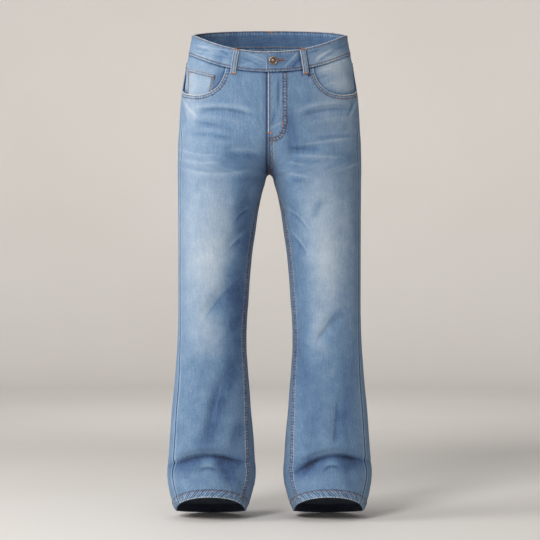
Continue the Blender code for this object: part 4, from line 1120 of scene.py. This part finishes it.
def sewn_panel(
    node, side, angles, heights, relief, turned, rolled, thick, rests_on, held="hung", paler=0.0, **marks
):
    """A panel from its grids: relief on the face, edges turned in at seams and rolled at folds."""
    outside = surface(side, angles, heights, relief + turned - rolled)
    inside = surface(side, angles, heights, turned - thick + rolled)
    size, area = flat_size(outside)
    marks["fade"] = wash_and_shade_at(side, angles, heights) + paler
    cloth(node, outside, inside, marks, CLOTH)


def straight_grain(from_start, from_stop, heights):
    """Where a thread lies across a panel: it follows the side seam down the leg, the centre above."""
    row = np.argmin(np.abs(heights[:, 0] - CROTCH))
    wide = (from_start + from_stop)[row].mean()
    return np.where(heights < heights[row, 0], wide - from_stop, from_start)


def grain_of(across, down, side, face):
    """Where the cloth's pattern is read; side and face keep the pieces' patterns apart."""
    return np.stack([across + 0.9 * side + 0.35 * face, down, np.zeros(across.shape)], -1)


def only(zone, distance):
    """The distance where the zone is, and a metre elsewhere."""
    return np.where(zone > 0.5, distance, 1.0)


def leg_share(heights):
    """One on the legs and nought above the crotch."""
    return within(heights, CROTCH - 0.004, 0.006)


def hem_relief(from_foot):
    """The doubled hem and the row that draws it in."""
    return 0.00045 * within(from_foot, HEM_ROW + 0.0010, 0.0020) - 0.00035 * dent(from_foot, HEM_ROW, 0.0012)


def felled_relief(distance, rise=0.00055, soft=0.0009, deep=0.00030):
    """A felled seam beside an edge: its strip stands out and its two rows are drawn in."""
    rows = sum(dent(distance, row, 0.0010) for row in FELLED_ROWS)
    return rise * within(distance, STRIP, soft) - deep * rows


def side_ridge(from_stop):
    """The seam allowance under the cloth beside the side seam."""
    return 0.00040 * within(from_stop, 0.0080, 0.0030)


def turned_in(from_start, from_stop, share=1.0):
    """The edges at the side seam and the centre or inside seam, turned in between the pieces."""
    side_edge = TURNED_SIDE * within(from_stop, 0.0, TURNED_SIDE)
    return -side_edge - TURNED_EDGE * within(from_start, 0.0, TURNED_EDGE) * share


def hem_thickness(heights):
    """The cloth is double where the hem is turned up."""
    return DENIM + (HEM_THICK - DENIM) * within(heights, HEM_HEIGHT, 0.004)


def hem_seam(from_start, from_foot):
    """The distance above the hem's row and the run along it, for the puckers."""
    return np.maximum(from_foot - HEM_ROW, 0.0), from_start + from_foot * 0.7


def off_strip(distance):
    """How far outside the strip of a felled seam."""
    return np.maximum(np.abs(distance - 0.0057) - 0.0055, 0.0)


def front_panel(side):
    """One front, from the waist seam and the pocket mouth to the hem."""
    left = side > 0
    shares = close_ends(86, 0.27)
    level = mouth_level(shares)
    heights = panel_levels(level + TUCK * within(shares, MOUTH_SHARE - 0.006, 0.006))
    start = fly_angle(heights) if left else centre_angle(heights, -1)
    angles = panel_angles(start, heights, shares, -1)
    bare = surface(side, angles, heights)
    from_start, from_stop, from_foot, _ = runs(bare)
    from_mouth, along_mouth = nearest(bare, fine_line(bare[-1, shares > MOUTH_SHARE - 0.001]))
    point = ring(angles, heights)
    leg = leg_share(heights)
    felled = within(heights, FLY_TACK, 0.006) if left else leg
    folded = 1.0 - leg if left else 0.0 * leg

    relief = hem_relief(from_foot) + 0.00040 * within(from_mouth, MOUTH_HEM, 0.0016)
    relief = relief - 0.00022 * sum(dent(from_mouth, row, 0.0010) for row in MOUTH_ROWS)
    relief = relief + felled_relief(from_start) * felled + side_ridge(from_stop)
    turned = turned_in(from_start, from_stop, leg)
    if left:
        # the fly facing stands out a little through the cloth
        width, curve_top, drop = FLY_FACING
        over = (point[..., 0] + FLY_LAP) / width
        below = np.maximum((curve_top - point[..., 2]) / drop, 0.0)
        relief = relief + 0.00040 * within(np.hypot(over, below), 0.97, 0.06)
    else:
        sunk = ease((heights - FLY_FROM + 0.020) / 0.018)
        turned = turned - FLY_PUSH * sunk * within(point[..., 0], 0.0065, 0.012)
    rolled = rounded(from_foot, HEM_THICK) + rounded(from_mouth, DENIM) * (level < SEAM - 0.0005)
    rolled = np.minimum(rolled + rounded(from_start, DENIM) * folded, 0.0012)

    strip_edge = only(felled, np.abs(from_start - STRIP) + 0.0012)
    seams = [
        hem_seam(from_start, from_foot),
        (only(felled, off_strip(from_start) + 0.0004), from_foot + from_start * 0.4),
        (only(folded, from_start * 0.3 + 0.0002), from_foot + from_start * 0.8),
        (np.maximum(np.abs(from_mouth - 0.0055) - 0.0045, 0.0) + 0.0006, along_mouth),
        (from_stop * 1.8 + 0.0030, from_foot),
    ]
    rows = [from_foot - HEM_ROW] + [from_mouth - row for row in MOUTH_ROWS]
    rows += [only(felled, from_start - row) for row in FELLED_ROWS]
    if left:
        rows.append(only(folded, from_start - FLY_EDGE_ROW))
        away, run = nearest(bare, surface(side, *from_photo(*even_line(*J_MIDDLE), side)))
        seams.append((np.maximum(away - 0.0030, 0.0) + 0.0003, run))
        rows += [away - J_APART, away + J_APART]
    seam, along = closest(*seams)
    dark = 0.7 * groove(*rows) + under_band(heights) + side_seam(from_stop) + loop_shade(side, point)
    # painted shadow on the right front beside the lapped edge of the fly
    if not left:
        dark = dark + 0.9 * dent(point[..., 0], 0.0058, 0.0024) * (1.0 - leg)
    sewn_panel(
        "front_" + SIDES[side], side, angles, heights, relief, turned, rolled, hem_thickness(heights),
        "waistband",
        dark=dark,
        grain=grain_of(straight_grain(from_start, from_stop, heights), from_foot, side, -1),
        edge=np.minimum.reduce((from_foot, from_mouth, only(folded, from_start), strip_edge)),
        seam=seam,
        along=along,
        blue=within(heights, HEM_HEIGHT, 0.002),
    )

    sewing = brown["front_" + SIDES[side]]
    levels = np.arange(0.0030, CROTCH - 0.002, 0.004)
    for row in FELLED_ROWS:
        sewing.beside(side, centre_angle(levels, -1), levels, -row * side)
    if left:
        levels = np.linspace(CROTCH + 0.001, FLY_TACK, 40)
        for row in FELLED_ROWS:
            sewing.beside(side, fly_angle(levels), levels, -row)
        levels = np.linspace(FLY_TACK, SEAM - 0.0010, 60)
        sewing.beside(side, fly_angle(levels), levels, -FLY_EDGE_ROW)
        for apart in (J_APART, -J_APART):
            sewing.beside(side, *from_photo(*even_line(*J_MIDDLE), side), apart)
    sewing.on_cloth(side, *raised_line(side, angles[0], 0.0 * shares, HEM_ROW), 0.0002)
    top = shares > MOUTH_SHARE
    for row in MOUTH_ROWS:
        line = beside(side, angles[-1, top], level[top], -row * side)
        kept = line[1] < SEAM - 0.0012
        sewing.on_cloth(side, line[0][kept], line[1][kept], 0.0003)


def yoke_line(share):
    """Height of the yoke seam at a share across the back from the centre."""
    return SEAM - YOKE_CENTRE + (YOKE_CENTRE - YOKE_SIDE) * share


def back_panel(side):
    """One back, from the yoke seam to the hem."""
    shares = close_ends(86, 0.29)
    heights = panel_levels(yoke_line(shares))
    angles = panel_angles(centre_angle(heights, 1), heights, shares, 1)
    from_start, from_stop, from_foot, from_top = runs(surface(side, angles, heights))
    felled = (1.0 - leg_share(heights)) * (side > 0)
    relief = hem_relief(from_foot) + felled_relief(from_start) * felled + side_ridge(from_stop)
    turned = turned_in(from_start, from_stop) - TURNED_EDGE * within(from_top, 0.0, TURNED_SIDE)
    strip = np.where(felled > 0.5, off_strip(from_start), from_start * 1.6 + 0.002)
    seam, along = closest(
        hem_seam(from_start, from_foot),
        (strip, from_foot + from_start * 0.4),
        (from_stop * 1.8 + 0.0030, from_foot),
        (from_top * 1.4, from_start),
    )
    rows = [only(felled, from_start - row) for row in FELLED_ROWS]
    sewn_panel(
        "back_" + SIDES[side], side, angles, heights, relief, np.maximum(turned, -TURNED_SIDE),
        rounded(from_foot, HEM_THICK), hem_thickness(heights), "yoke_" + SIDES[side],
        dark=0.7 * groove(from_foot - HEM_ROW, *rows) + side_seam(from_stop),
        grain=grain_of(straight_grain(from_start, from_stop, heights), from_foot, side, 1),
        edge=np.minimum(from_foot + 0.0022, only(felled, np.abs(from_start - STRIP) + 0.0012)),
        seam=seam,
        along=along,
        blue=within(heights, HEM_HEIGHT, 0.002),
    )
    sewing = brown["back_" + SIDES[side]]
    sewing.on_cloth(side, *raised_line(side, angles[0], 0.0 * shares, HEM_ROW), 0.0002)
    if side > 0:
        levels = np.linspace(CROTCH + 0.002, yoke_line(0.0) - 0.001, 60)
        for row in FELLED_ROWS:
            sewing.beside(side, centre_angle(levels, 1), levels, row)


def yoke(side):
    """The piece between the waistband and the back panel, its foot lapped over the panel."""
    shares = close_ends(70, 0.24)
    rows = np.concatenate([np.array((0.0, 0.008, 0.018, 0.035)), np.linspace(0.06, 1.0, 22)])[:, None]
    foot = yoke_line(shares)
    heights = foot + (SEAM + TUCK - foot) * rows
    angles = panel_angles(centre_angle(heights, 1), heights, shares, 1)
    from_start, from_stop, from_foot, from_top = runs(surface(side, angles, heights))
    felled = float(side > 0)
    relief = felled_relief(from_start, deep=0.00028) * felled
    relief = relief + felled_relief(from_foot, 0.00060, 0.0020, 0.00028)
    seam, along = closest(
        (off_strip(from_foot), from_start),
        (np.maximum(from_start - STRIP * felled, 0.0) + 0.002 * (1.0 - felled), from_foot),
        (from_stop * 1.8 + 0.0030, from_foot),
        (from_top * 1.2, from_start),
    )
    rows = [from_foot - row for row in FELLED_ROWS]
    sewn_panel(
        "yoke_" + SIDES[side], side, angles, heights, relief, turned_in(from_start, from_stop),
        rounded(from_foot, DENIM), DENIM, "waistband",
        dark=0.7 * groove(*rows) + side_seam(from_stop) + under_band(heights),
        grain=grain_of(from_start + from_foot * 0.2, from_foot, side, 2.2),
        edge=np.minimum(from_foot, np.abs(from_start - STRIP) + 0.0008 + (1.0 - felled)),
        seam=seam,
        along=along,
        blue=0.0,
    )
    sewing = brown["back_" + SIDES[side]]
    for row in FELLED_ROWS:
        sewing.on_cloth(side, *raised_line(side, angles[0], heights[0], row), 0.0005)
    if side > 0:
        levels = np.linspace(yoke_line(0.0) + 0.001, SEAM - 0.001, 30)
        for row in FELLED_ROWS:
            sewing.beside(side, centre_angle(levels, 1), levels, row)


# ---------------------------------------------------------------- pockets
def facing_depth(side, shares, heights):
    """The facing is flush at the corner of the side and waist seams and sinks to the mouth."""
    across = (1.0 - shares) / (1.0 - MOUTH_SHARE)
    down = (SEAM - heights) / (SEAM - MOUTH[-1, 1])
    away = (np.abs(across) ** 2.4 + np.abs(down) ** 2.4) ** (1.0 / 2.4)
    return FACING_DEPTH[side] * ease((away - 0.20) / 0.66)


def pocket_facing(side):
    """The piece seen in the pocket mouth, on under the front panel."""
    shares = np.linspace(FACING_SHARE, 1.0, 56)
    scaled = MOUTH_SHARE + (shares - FACING_SHARE) * (1.0 - MOUTH_SHARE) / (1.0 - FACING_SHARE)
    bottoms = mouth_level(scaled + 1e-6) - 0.022
    rows = np.linspace(0.0, 1.0, 40)[:, None]
    heights = bottoms + (SEAM + TUCK - bottoms) * rows
    shares = np.repeat(shares[None, :], len(rows), axis=0)
    angles = share_angles(shares, heights)
    depth = facing_depth(side, shares, heights)
    bare = surface(side, angles, heights, -depth)
    from_start, from_stop, from_foot, from_top = runs(bare)
    mouth_shares = np.linspace(MOUTH_SHARE, 1.0, 70)
    levels = mouth_level(mouth_shares)
    mouth = fine_line(surface(side, share_angles(mouth_shares, levels), levels, -depth.max()))
    shade, _ = nearest(bare, mouth)
    seam, along = closest((from_stop * 1.8 + 0.0030, from_foot), (from_top * 1.2, from_start))
    sewn_panel(
        "pocket_facing_" + SIDES[side], side, angles, heights, side_ridge(from_stop),
        -TURNED_EDGE * within(from_stop, 0.0, TURNED_SIDE) - depth, 0.0, FACING_THICK, "waistband", "laid",
        grain=grain_of(from_start + 0.3 * from_foot, from_foot, side, -3.1),
        # painted shadow of the mouth's edge on the facing, and the painted shadow under the waistband
        dark=0.6 * dent(shade, 0.0, 0.0060) + under_band(heights) + side_seam(from_stop),
        edge=1.0,
        seam=seam,
        along=along,
        blue=0.0,
    )


def coin_place(across, down):
    """Where the coin pocket lies: angles, heights and how deep it is sunk."""
    shares = (0.564 + 0.025 * down) + (0.360 - 0.074 * down) * across
    heights = (1.0018 - 0.0060 * across) - 0.064 * down
    depth = facing_depth(-1, shares, heights) - COIN_CLEAR - COIN_THICK
    return share_angles(shares, heights), heights, depth


def coin_pocket():
    """The small pocket on the right facing, hemmed at the top, its foot under the front panel."""
    first_row, hem_row = COIN_ROWS
    angles, heights, depth = coin_place(close_ends(34, 0.055)[None, :], close_ends(38, 0.062)[:, None])
    from_start, from_stop, from_top, _ = runs(surface(-1, angles, heights, -depth))
    relief = 0.00045 * within(from_top, 0.0085, 0.0010) - 0.00020 * dent(from_top, hem_row, 0.0010)
    rolled = sum(rounded(distance, COIN_THICK) for distance in (from_top, from_start, from_stop))
    from_hem = np.maximum(from_top - 0.006, 0.0)
    seam, along = closest((from_start, from_top), (from_stop, from_top), (from_hem, from_start))
    rows = from_top - first_row, from_top - hem_row, from_start - first_row, from_stop - first_row
    sewn_panel(
        "coin_pocket", -1, angles, heights, relief, -depth, np.minimum(rolled, COIN_THICK / 2.0), COIN_THICK,
        "pocket_facing_right", "laid", 0.03,
        grain=grain_of(from_start, from_top, -1, 4.3),
        dark=0.7 * groove(*rows),
        edge=np.minimum.reduce((from_top, from_start, from_stop)),
        seam=seam + 0.001,
        along=along,
        blue=0.0,
    )
    sewing = brown["pockets"]
    inset = first_row / 0.055
    even = np.linspace(0.03, 0.97, 60)
    for share in (inset, inset * 2.6, 1.0 - inset, 1.0 - inset * 2.6):
        angles, heights, depth = coin_place(share, even)
        sewing.on_cloth(-1, angles, heights, -depth)
    for drop in COIN_ROWS:
        angles, heights, depth = coin_place(even, drop / 0.064)
        sewing.on_cloth(-1, angles, heights, 0.0003 - depth)
    for x, y, lean in ((190.0, 72.6, 72.0), (213.4, 77.6, 74.0)):
        orange["pockets"].bar_on_cloth(-1, x, y, lean, 0.0075, 0.0019, -0.0008)


def back_pocket_place(across, down):
    """Angles and heights of a back pocket, at shares from its middle and down from its top."""
    x = POCKET_X + across * (POCKET_HALF - 0.006 * down)
    top = POCKET_TOP + 0.007 * across
    foot = POCKET_FOOT + 0.022 * np.abs(across)
    level = top + (foot - top) * down
    return angle_at(x, level, 1), level


def back_pocket(side):
    """A plain patch pocket with a pointed foot and a hemmed top."""
    across, down = np.meshgrid(close_ends(60, 0.130) * 2.0 - 1.0, close_ends(66, 0.140))
    angles, heights = back_pocket_place(across, down)
    out = POCKET_CLEAR + DENIM
    from_start, from_stop, from_top, from_foot = runs(surface(side, angles, heights, out))
    near = np.minimum.reduce((from_start, from_stop, from_foot))
    belly = np.sin(math.pi * np.clip((across + 1.0) / 2.0, 0, 1)) * np.sin(math.pi * down) ** 2
    relief = 0.00060 * within(from_top, 0.0180, 0.0016) + 0.00040 * within(near, 0.0085, 0.0012)
    relief = relief + 0.0012 * belly
    seam, along = closest((near, from_top), (np.maximum(from_top - 0.015, 0.0), from_start))
    sewn_panel(
        "back_pocket_" + SIDES[side], side, angles, heights, relief, out,
        np.minimum(rounded(near, DENIM) + rounded(from_top, DENIM), DENIM / 2.0), DENIM,
        "back_" + SIDES[side], "laid", 0.04,
        dark=0.7 * groove(*(near - row for row in POCKET_ROWS), from_top - POCKET_HEM_ROWS[1]),
        grain=grain_of(from_start, from_top, side, 5.7),
        edge=np.minimum(near, from_top),
        seam=seam,
        along=along,
        blue=0.0,
    )
    sewing = brown["pockets"]
    for inset in POCKET_ROWS:
        wide, tall = 1.0 - inset / 0.0640, 1.0 - inset / 0.140
        across = np.concatenate([np.full(50, -wide), np.linspace(-wide, wide, 80)[1:-1], np.full(50, wide)])
        down = np.concatenate([np.linspace(0.01, tall, 50), np.full(78, tall), np.linspace(tall, 0.01, 50)])
        sewing.on_cloth(side, *back_pocket_place(across, down), out + 0.0003)
    for drop in POCKET_HEM_ROWS:
        across = np.linspace(-0.98, 0.98, 80)
        sewing.on_cloth(side, *back_pocket_place(across, drop / 0.150), out + 0.0005)
    for corner in (-0.955, 0.955):
        place = back_pocket_place(np.array((corner, corner + 0.01)), 0.035)
        spot, normals = on_surface(side, *place, out + 0.0006)
        frame_of_bar = bar_frame(spot[0], (spot[1] - spot[0]) * side, normals[0], 90.0)
        orange["pockets"].bar(*frame_of_bar, 0.0090, 0.0020)


# ---------------------------------------------------------------- waistband, loops and button
def band_lift(x):
    """How far the waistband stands out: its left end lies over its right end."""
    return BAND_PROUD + (OVER_LIFT - BAND_PROUD) * within(x, OVER_FLAT, OVER_BLEND - OVER_FLAT)


def band_out(side, angles, levels):
    """The waistband's outside above the bare surface."""
    x = ring(angles, levels)[..., 0]
    in_front = band_lift(x) if side > 0 else BAND_PROUD * ease(x / 0.06)
    return np.where(np.sin(angles) < 0.0, in_front, BAND_PROUD)


def end_cut(x):
    """How far the rounded corner cuts the top of the left end down at this distance."""
    end = np.maximum(END_RADIUS - (x - OVER_END), 0.0)
    return END_RADIUS - np.sqrt(np.maximum(END_RADIUS**2 - end**2, 0.0))


def hole_dent(side, angles, levels):
    """The slit of the buttonhole: the cloth sinks between its stitched sides."""
    x = ring(angles, levels)[..., 0]
    past = np.maximum(np.maximum(x - HOLE_END + HOLE_ROUND, BUTTON_X - x), 0.0)
    away = np.hypot(past, levels - SEAM - BUTTON_UP)
    return -0.0019 * np.exp(-((away / 0.00085) ** 4)) * (side > 0)


def waistband():
    """One strip: from its left end over the button, round the back, to its right end."""
    near_end = np.array((0.0, 0.0003, 0.0008, 0.0014, 0.0022, 0.0031, 0.0042, 0.0054))
    x = np.concatenate([OVER_END + near_end, np.arange(OVER_END + 0.0068, 0.040, 0.0013)])
    rows = both_ends((0.0, 0.008, 0.022, 0.045), 0.075, 34)[:, None]
    level = SEAM + BAND_GAP
    height = BAND_HEIGHT - BAND_GAP
    straight = level + height * rows
    halves = []
    there, back = np.linspace(0.0, 1.0, 250)[1:], np.linspace(1.0, 0.0, 290)[1:]
    for first_x, shares in ((x[-1], there), (-UNDER_END, back)):
        angles = spread(angle_at(first_x, straight, -1), math.pi / 2.0, straight, shares)
        halves.append((angles, np.repeat(straight, len(shares), 1)))
    ends = level + (height - end_cut(x)) * rows
    halves[0] = [np.concatenate(pair, 1) for pair in zip((angle_at(x, ends, -1), ends), halves[0])]
    grids = []
    for side, (angles, levels) in zip((1, -1), halves):
        out = band_out(side, angles, levels)
        up = levels - levels[0]
        top = levels[-1] - levels
        near = np.minimum(up, top)
        stitched = groove(up - BAND_ROWS[0], top - BAND_ROWS[1])
        ridge = 0.00035 * within(up, 0.0095, 0.004) + 0.00040 * within(top, 0.0075, 0.003)
        ridge = ridge - 0.00030 * stitched
        rolled = np.minimum(rounded(up, BAND_THICK) + rounded(top, BAND_THICK), BAND_THICK / 2.0)
        at_back = 1.0 - ease(-np.sin(angles) / 0.2)
        grids.append(
            (
                surface(side, angles, levels, out + ridge - rolled + hole_dent(side, angles, levels)),
                surface(side, angles, levels, out - BAND_THICK + rolled),
                wash_and_shade_at(side, angles, levels) - 0.17 * at_back * ease((near - 0.006) / 0.006),
                0.7 * stitched + loop_shade(side, ring(angles, levels)) * (1.0 - at_back),
                np.minimum(up * 1.5 + 0.0013, top),
                np.maximum(near - 0.0030 - 0.0040 * at_back, 0.0) + 0.0005,
            )
        )
    outside, inside, fade, dark, edge, seam = (np.concatenate(pair, 1) for pair in zip(*grids))
    across, to_end, up, _ = runs(outside)
    end = np.minimum(across, to_end)
    marks = {
        "grain": np.stack([up + 3.0, across, np.zeros(up.shape)], -1),
        "fade": fade,
        "dark": dark + 0.6 * dent(end, END_ROW, GROOVE),
        "edge": np.minimum(edge, end),
        "seam": seam,
        "along": across,
        "blue": 0.0,
    }
    cloth("waistband", outside, inside, marks, BLUE_BOTH)


def stitch_waistband():
    """Rows along the top and the foot of the band, outside and inside, and down its left end."""
    foot_row, top_row = BAND_ROWS
    end_x = OVER_END + END_ROW
    pairs = (BAND_GAP + foot_row, 0.0078), (BAND_HEIGHT - top_row, BAND_HEIGHT - 0.0014)
    for side, sewing, first_x, hidden in (
        (1, brown["waistband"], end_x, 0),
        (-1, brown["loops"], -UNDER_END + 0.003, 26),
    ):
        for up, inner_up in pairs:
            levels = np.full(400, SEAM + up)
            first = angle_at(first_x, levels, -1)
            angles = spread(first, math.pi / 2.0, levels, np.linspace(0.0, 1.0, 400))
            out = band_out(side, angles, levels)
            sewing.on_cloth(side, angles[hidden:], levels[hidden:], out[hidden:] + 0.0001)
            levels = np.full(400, SEAM + inner_up)
            line = surface(side, angles, levels, out - BAND_THICK - 0.0001)
            deeper = surface(side, angles, levels, out - BAND_THICK - 0.0011)
            sewing.row(line, unit(deeper - line))
    sideways, _, upward = np.eye(3)
    orange["waistband"].bar(line[-1] + (0.0020, 0.0, -0.0012), sideways, upward, 0.0130, 0.0030)
    levels = np.linspace(SEAM + BAND_GAP + foot_row, WAIST - top_row, 40)
    bend = 0.0012 * ease((levels - WAIST + 0.0080) / 0.0050)
    angles = angle_at(end_x + bend, levels, -1)
    brown["waistband"].on_cloth(1, angles, levels, band_out(1, angles, levels) + 0.0001)


def buttonhole():
    """Close orange stitches across both sides and the end of the slit."""
    turn = np.linspace(-math.pi / 2.0, math.pi / 2.0, 9)
    end_x = HOLE_END - HOLE_ROUND
    there, back = np.linspace(HOLE_START, end_x, 30), np.linspace(end_x, HOLE_START, 30)
    x = np.concatenate([there, end_x + HOLE_BAR * np.cos(turn), back])
    up = np.concatenate([np.full(30, -HOLE_BAR), HOLE_BAR * np.sin(turn), np.full(30, HOLE_BAR)])
    slit_x = np.concatenate([there, np.full(9, end_x), back])
    inner_x = slit_x + (x - slit_x) * 0.42
    level = SEAM + BUTTON_UP + up
    inner_level = SEAM + BUTTON_UP + up * 0.42
    outer = surface(1, angle_at(x, level, -1), level, OVER_LIFT + 0.0003)
    inner, normal = on_surface(1, angle_at(inner_x, inner_level, -1), inner_level, OVER_LIFT + 0.0004)
    orange["waistband"].stitches(outer, inner, normal)


def loop_frame(side, foot_x, top_x, face, rows):
    """A belt loop's middle line, the ways across and out of it, and how far out its face lies."""
    bottom, top = SEAM - LOOP_TAIL, WAIST - 0.0004
    heights = bottom + (top - bottom) * rows
    x = foot_x + (top_x - foot_x) * rows
    middle = surface(side, angle_at(x, heights, face), heights)
    next_to = surface(side, angle_at(x + 0.001, heights, face), heights)
    above = surface(side, angle_at(x, heights + 0.001, face), heights + 0.001)
    across = unit(next_to - middle)
    normal = unit(np.cross(across, above - middle))
    normal = normal * np.where(normal[:, 1:2] * face < 0.0, -1.0, 1.0)
    room = ease(np.minimum(rows, 1.0 - rows) / 0.30)
    lie = band_lift(top_x - LOOP_WIDTH) if face < 0 and side > 0 else BAND_PROUD
    return middle, across, normal, (lie + LOOP_CLEAR + LOOP_THICK + LOOP_BOW * room)[:, None]


def belt_loop(name, side, foot_x, top_x, face):
    """A folded strip with two rows of stitches, tacked down at both ends."""
    rows = both_ends((0.0, 0.008, 0.02, 0.035), 0.055, 34)
    middle, across, normal, out = loop_frame(side, foot_x, top_x, face, rows)
    steps = np.array((-0.5, -0.485, -0.455, -0.41, -0.36, -0.30, -0.24, -0.16, -0.08, 0.0))
    steps = np.concatenate([steps, -steps[-2::-1]]) * LOOP_WIDTH
    from_side = LOOP_WIDTH / 2.0 - np.abs(steps)
    height = run_of(middle)[:, None]
    from_end = np.minimum(height, height[-1] - height)
    rolled = np.minimum(rounded(from_side, LOOP_THICK) + rounded(from_end, LOOP_THICK), LOOP_THICK / 2.0)
    stitched = groove(from_side - LOOP_ROW)
    tacked = out - 0.00045 * within(from_end, 0.0040, 0.0030)
    centre = middle[:, None] + across[:, None] * steps[:, None]
    outside = centre + normal[:, None] * (tacked - 0.00035 * stitched - rolled)[..., None]
    inside = centre + normal[:, None] * (out - LOOP_THICK + rolled)[..., None]
    grain = np.broadcast_arrays(steps + foot_x * 9.0 * side + face, height, np.zeros(rolled.shape))
    marks = {
        "grain": np.stack(grain, -1),
        "fade": 0.56,
        "dark": 0.6 * stitched,
        "edge": np.minimum(from_side, from_end),
        "seam": np.abs(from_side - 0.002) + 0.001,
        "along": height * 1.2,
        "blue": 0.0,
    }
    cloth(name, outside, inside, marks, BLUE_BOTH)
    on_top = middle + normal * (tacked - 0.0001)
    for place in (-1.0, 1.0):
        line = on_top + across * place * (LOOP_WIDTH / 2.0 - LOOP_ROW)
        brown["loops"].row(line[3:-3], normal[3:-3])
    for row in (2, -3):
        up = unit(middle[row + 1] - middle[row - 1])
        orange["loops"].bar(on_top[row], np.cross(up, normal[row]), up, LOOP_WIDTH * 0.92, 0.0021)


def button():
    """A turned tack button: rolled rim, sunken ring with a fine cord, and a raised middle."""
    turns = 72
    level = SEAM + BUTTON_UP
    base, outward = on_surface(1, angle_at(BUTTON_X, level, -1), level, 0.0)
    across = unit(np.cross(outward, np.array((0.0, 0.0, 1.0))))
    upward = np.cross(across, outward)
    turn = np.arange(turns) / turns * 2.0 * math.pi
    arm = across * np.cos(turn)[:, None] + upward * np.sin(turn)[:, None]
    points, high = [], []
    for radius, out, rub in BUTTON_PROFILE:
        cord = 0.18 * np.cos(turn * 18.0) * (5.0 < radius < 6.0)
        points.append(base + (outward * (out + cord)[:, None] + arm * max(radius, 0.01)) / 1000.0)
        high.append(np.full(turns, rub))
    points = np.concatenate(points)
    quads = facing_out(points, round_quads(len(BUTTON_PROFILE), turns))
    marks = {"high": np.concatenate(high)}
    piece = add_piece("brass_button", points, quads, [brass_finish()], None, marks)
    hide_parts("button")


for side in (1, -1):
    front_panel(side)
    back_panel(side)
    yoke(side)
    pocket_facing(side)
    back_pocket(side)
coin_pocket()
waistband()
stitch_waistband()
buttonhole()
for name, side, foot_x, top_x, face in (
    ("belt_loop_front_left", 1, *FRONT_LOOP[:2], -1),
    ("belt_loop_front_right", -1, *FRONT_LOOP[:2], -1),
    ("belt_loop_side_left", 1, 0.1450, 0.1390, 1),
    ("belt_loop_side_right", -1, 0.1450, 0.1390, 1),
    ("belt_loop_back", 1, 0.0, 0.0, 1),
):
    belt_loop(name, side, foot_x, top_x, face)
button()
orange["front_left"].bar_on_cloth(1, 269.9, 132.8, 0.0, 0.0100, 0.0022, 0.0005)
orange["front_left"].bar_on_cloth(1, 283.2, 124.6, 88.0, 0.0095, 0.0018, 0.0005)
for sewing in [*brown.values(), *orange.values()]:
    if sewing.starts:
        sewing.finished()


# ---------------------------------------------------------------- floor, light and camera
def studio_floor():
    """A round bowl: flat under the jeans, curving up to a wall far behind, open at the top."""
    flat, bend, wall = 5.0, 1.2, 2.4
    profile = [(radius, 0.0) for radius in (0.0001, 0.5, 1.0, 2.0, 3.0, 4.0, flat)]
    for step in range(1, 17):
        turn = step / 16.0 * math.pi / 2.0
        profile.append((flat + bend * math.sin(turn), bend * (1.0 - math.cos(turn))))
    profile.append((flat + bend, wall))
    turns = 96
    turn = np.arange(turns) / turns * 2.0 * math.pi
    rings = []
    for radius, height in profile:
        level = np.full(turns, height + WAIST + solid_low[2])
        rings.append(np.stack([radius * np.cos(turn), radius * np.sin(turn), level], -1))
    quads = round_quads(len(profile), turns)
    add_piece("studio_floor", np.concatenate(rings), quads, [floor_finish()], ride=False)


def area_light(name, place, aim, size, power, colour):
    light = bpy.data.lights.new(name, "AREA")
    light.shape = "DISK"
    light.size = size
    light.energy = power
    light.color = colour
    lamp = bpy.data.objects.new(name, light)
    lamp.location = place
    direction = Vector(aim) - Vector(place)
    lamp.rotation_euler = direction.to_track_quat("-Z", "Y").to_euler()
    lamp.visible_camera = False
    bpy.context.scene.collection.objects.link(lamp)


studio_floor()
area_light("key_light", (-2.0, -4.3, 2.2), (0.0, 0.0, -0.5), 1.6, 158.0, (1.0, 0.985, 0.965))
area_light("side_light", (-4.2, -1.2, 1.0), (0.0, 0.0, -0.5), 2.5, 118.0, (1.0, 0.99, 0.98))
area_light("top_light", (0.0, -0.6, 3.2), (0.0, 0.0, -1.0), 3.0, 34.0, (1.0, 0.99, 0.98))
area_light("backdrop_light", (0.0, 2.6, 1.3), (0.0, 6.0, -0.1), 2.0, 25.0, (1.0, 0.99, 0.98))
world = bpy.data.worlds.new("pale_room")
world.use_nodes = True
world.node_tree.nodes["Background"].inputs["Color"].default_value = (1.0, 0.985, 0.965, 1.0)
world.node_tree.nodes["Background"].inputs["Strength"].default_value = 0.20
bpy.context.scene.world = world
bpy.context.scene.view_settings.view_transform = "Standard"
bpy.context.scene.view_settings.look = "None"

lens = bpy.data.cameras.new("camera")
lens.sensor_width = 36.0
lens.lens = CAMERA_AWAY / PICTURE * 36.0
camera = bpy.data.objects.new("camera", lens)
camera.location = (CAMERA_SIDE, -CAMERA_AWAY, CAMERA_UP - WAIST)
camera.rotation_euler = (math.pi / 2.0, 0.0, 0.0)
bpy.context.scene.collection.objects.link(camera)
bpy.context.scene.camera = camera

bpy.context.view_layer.update()
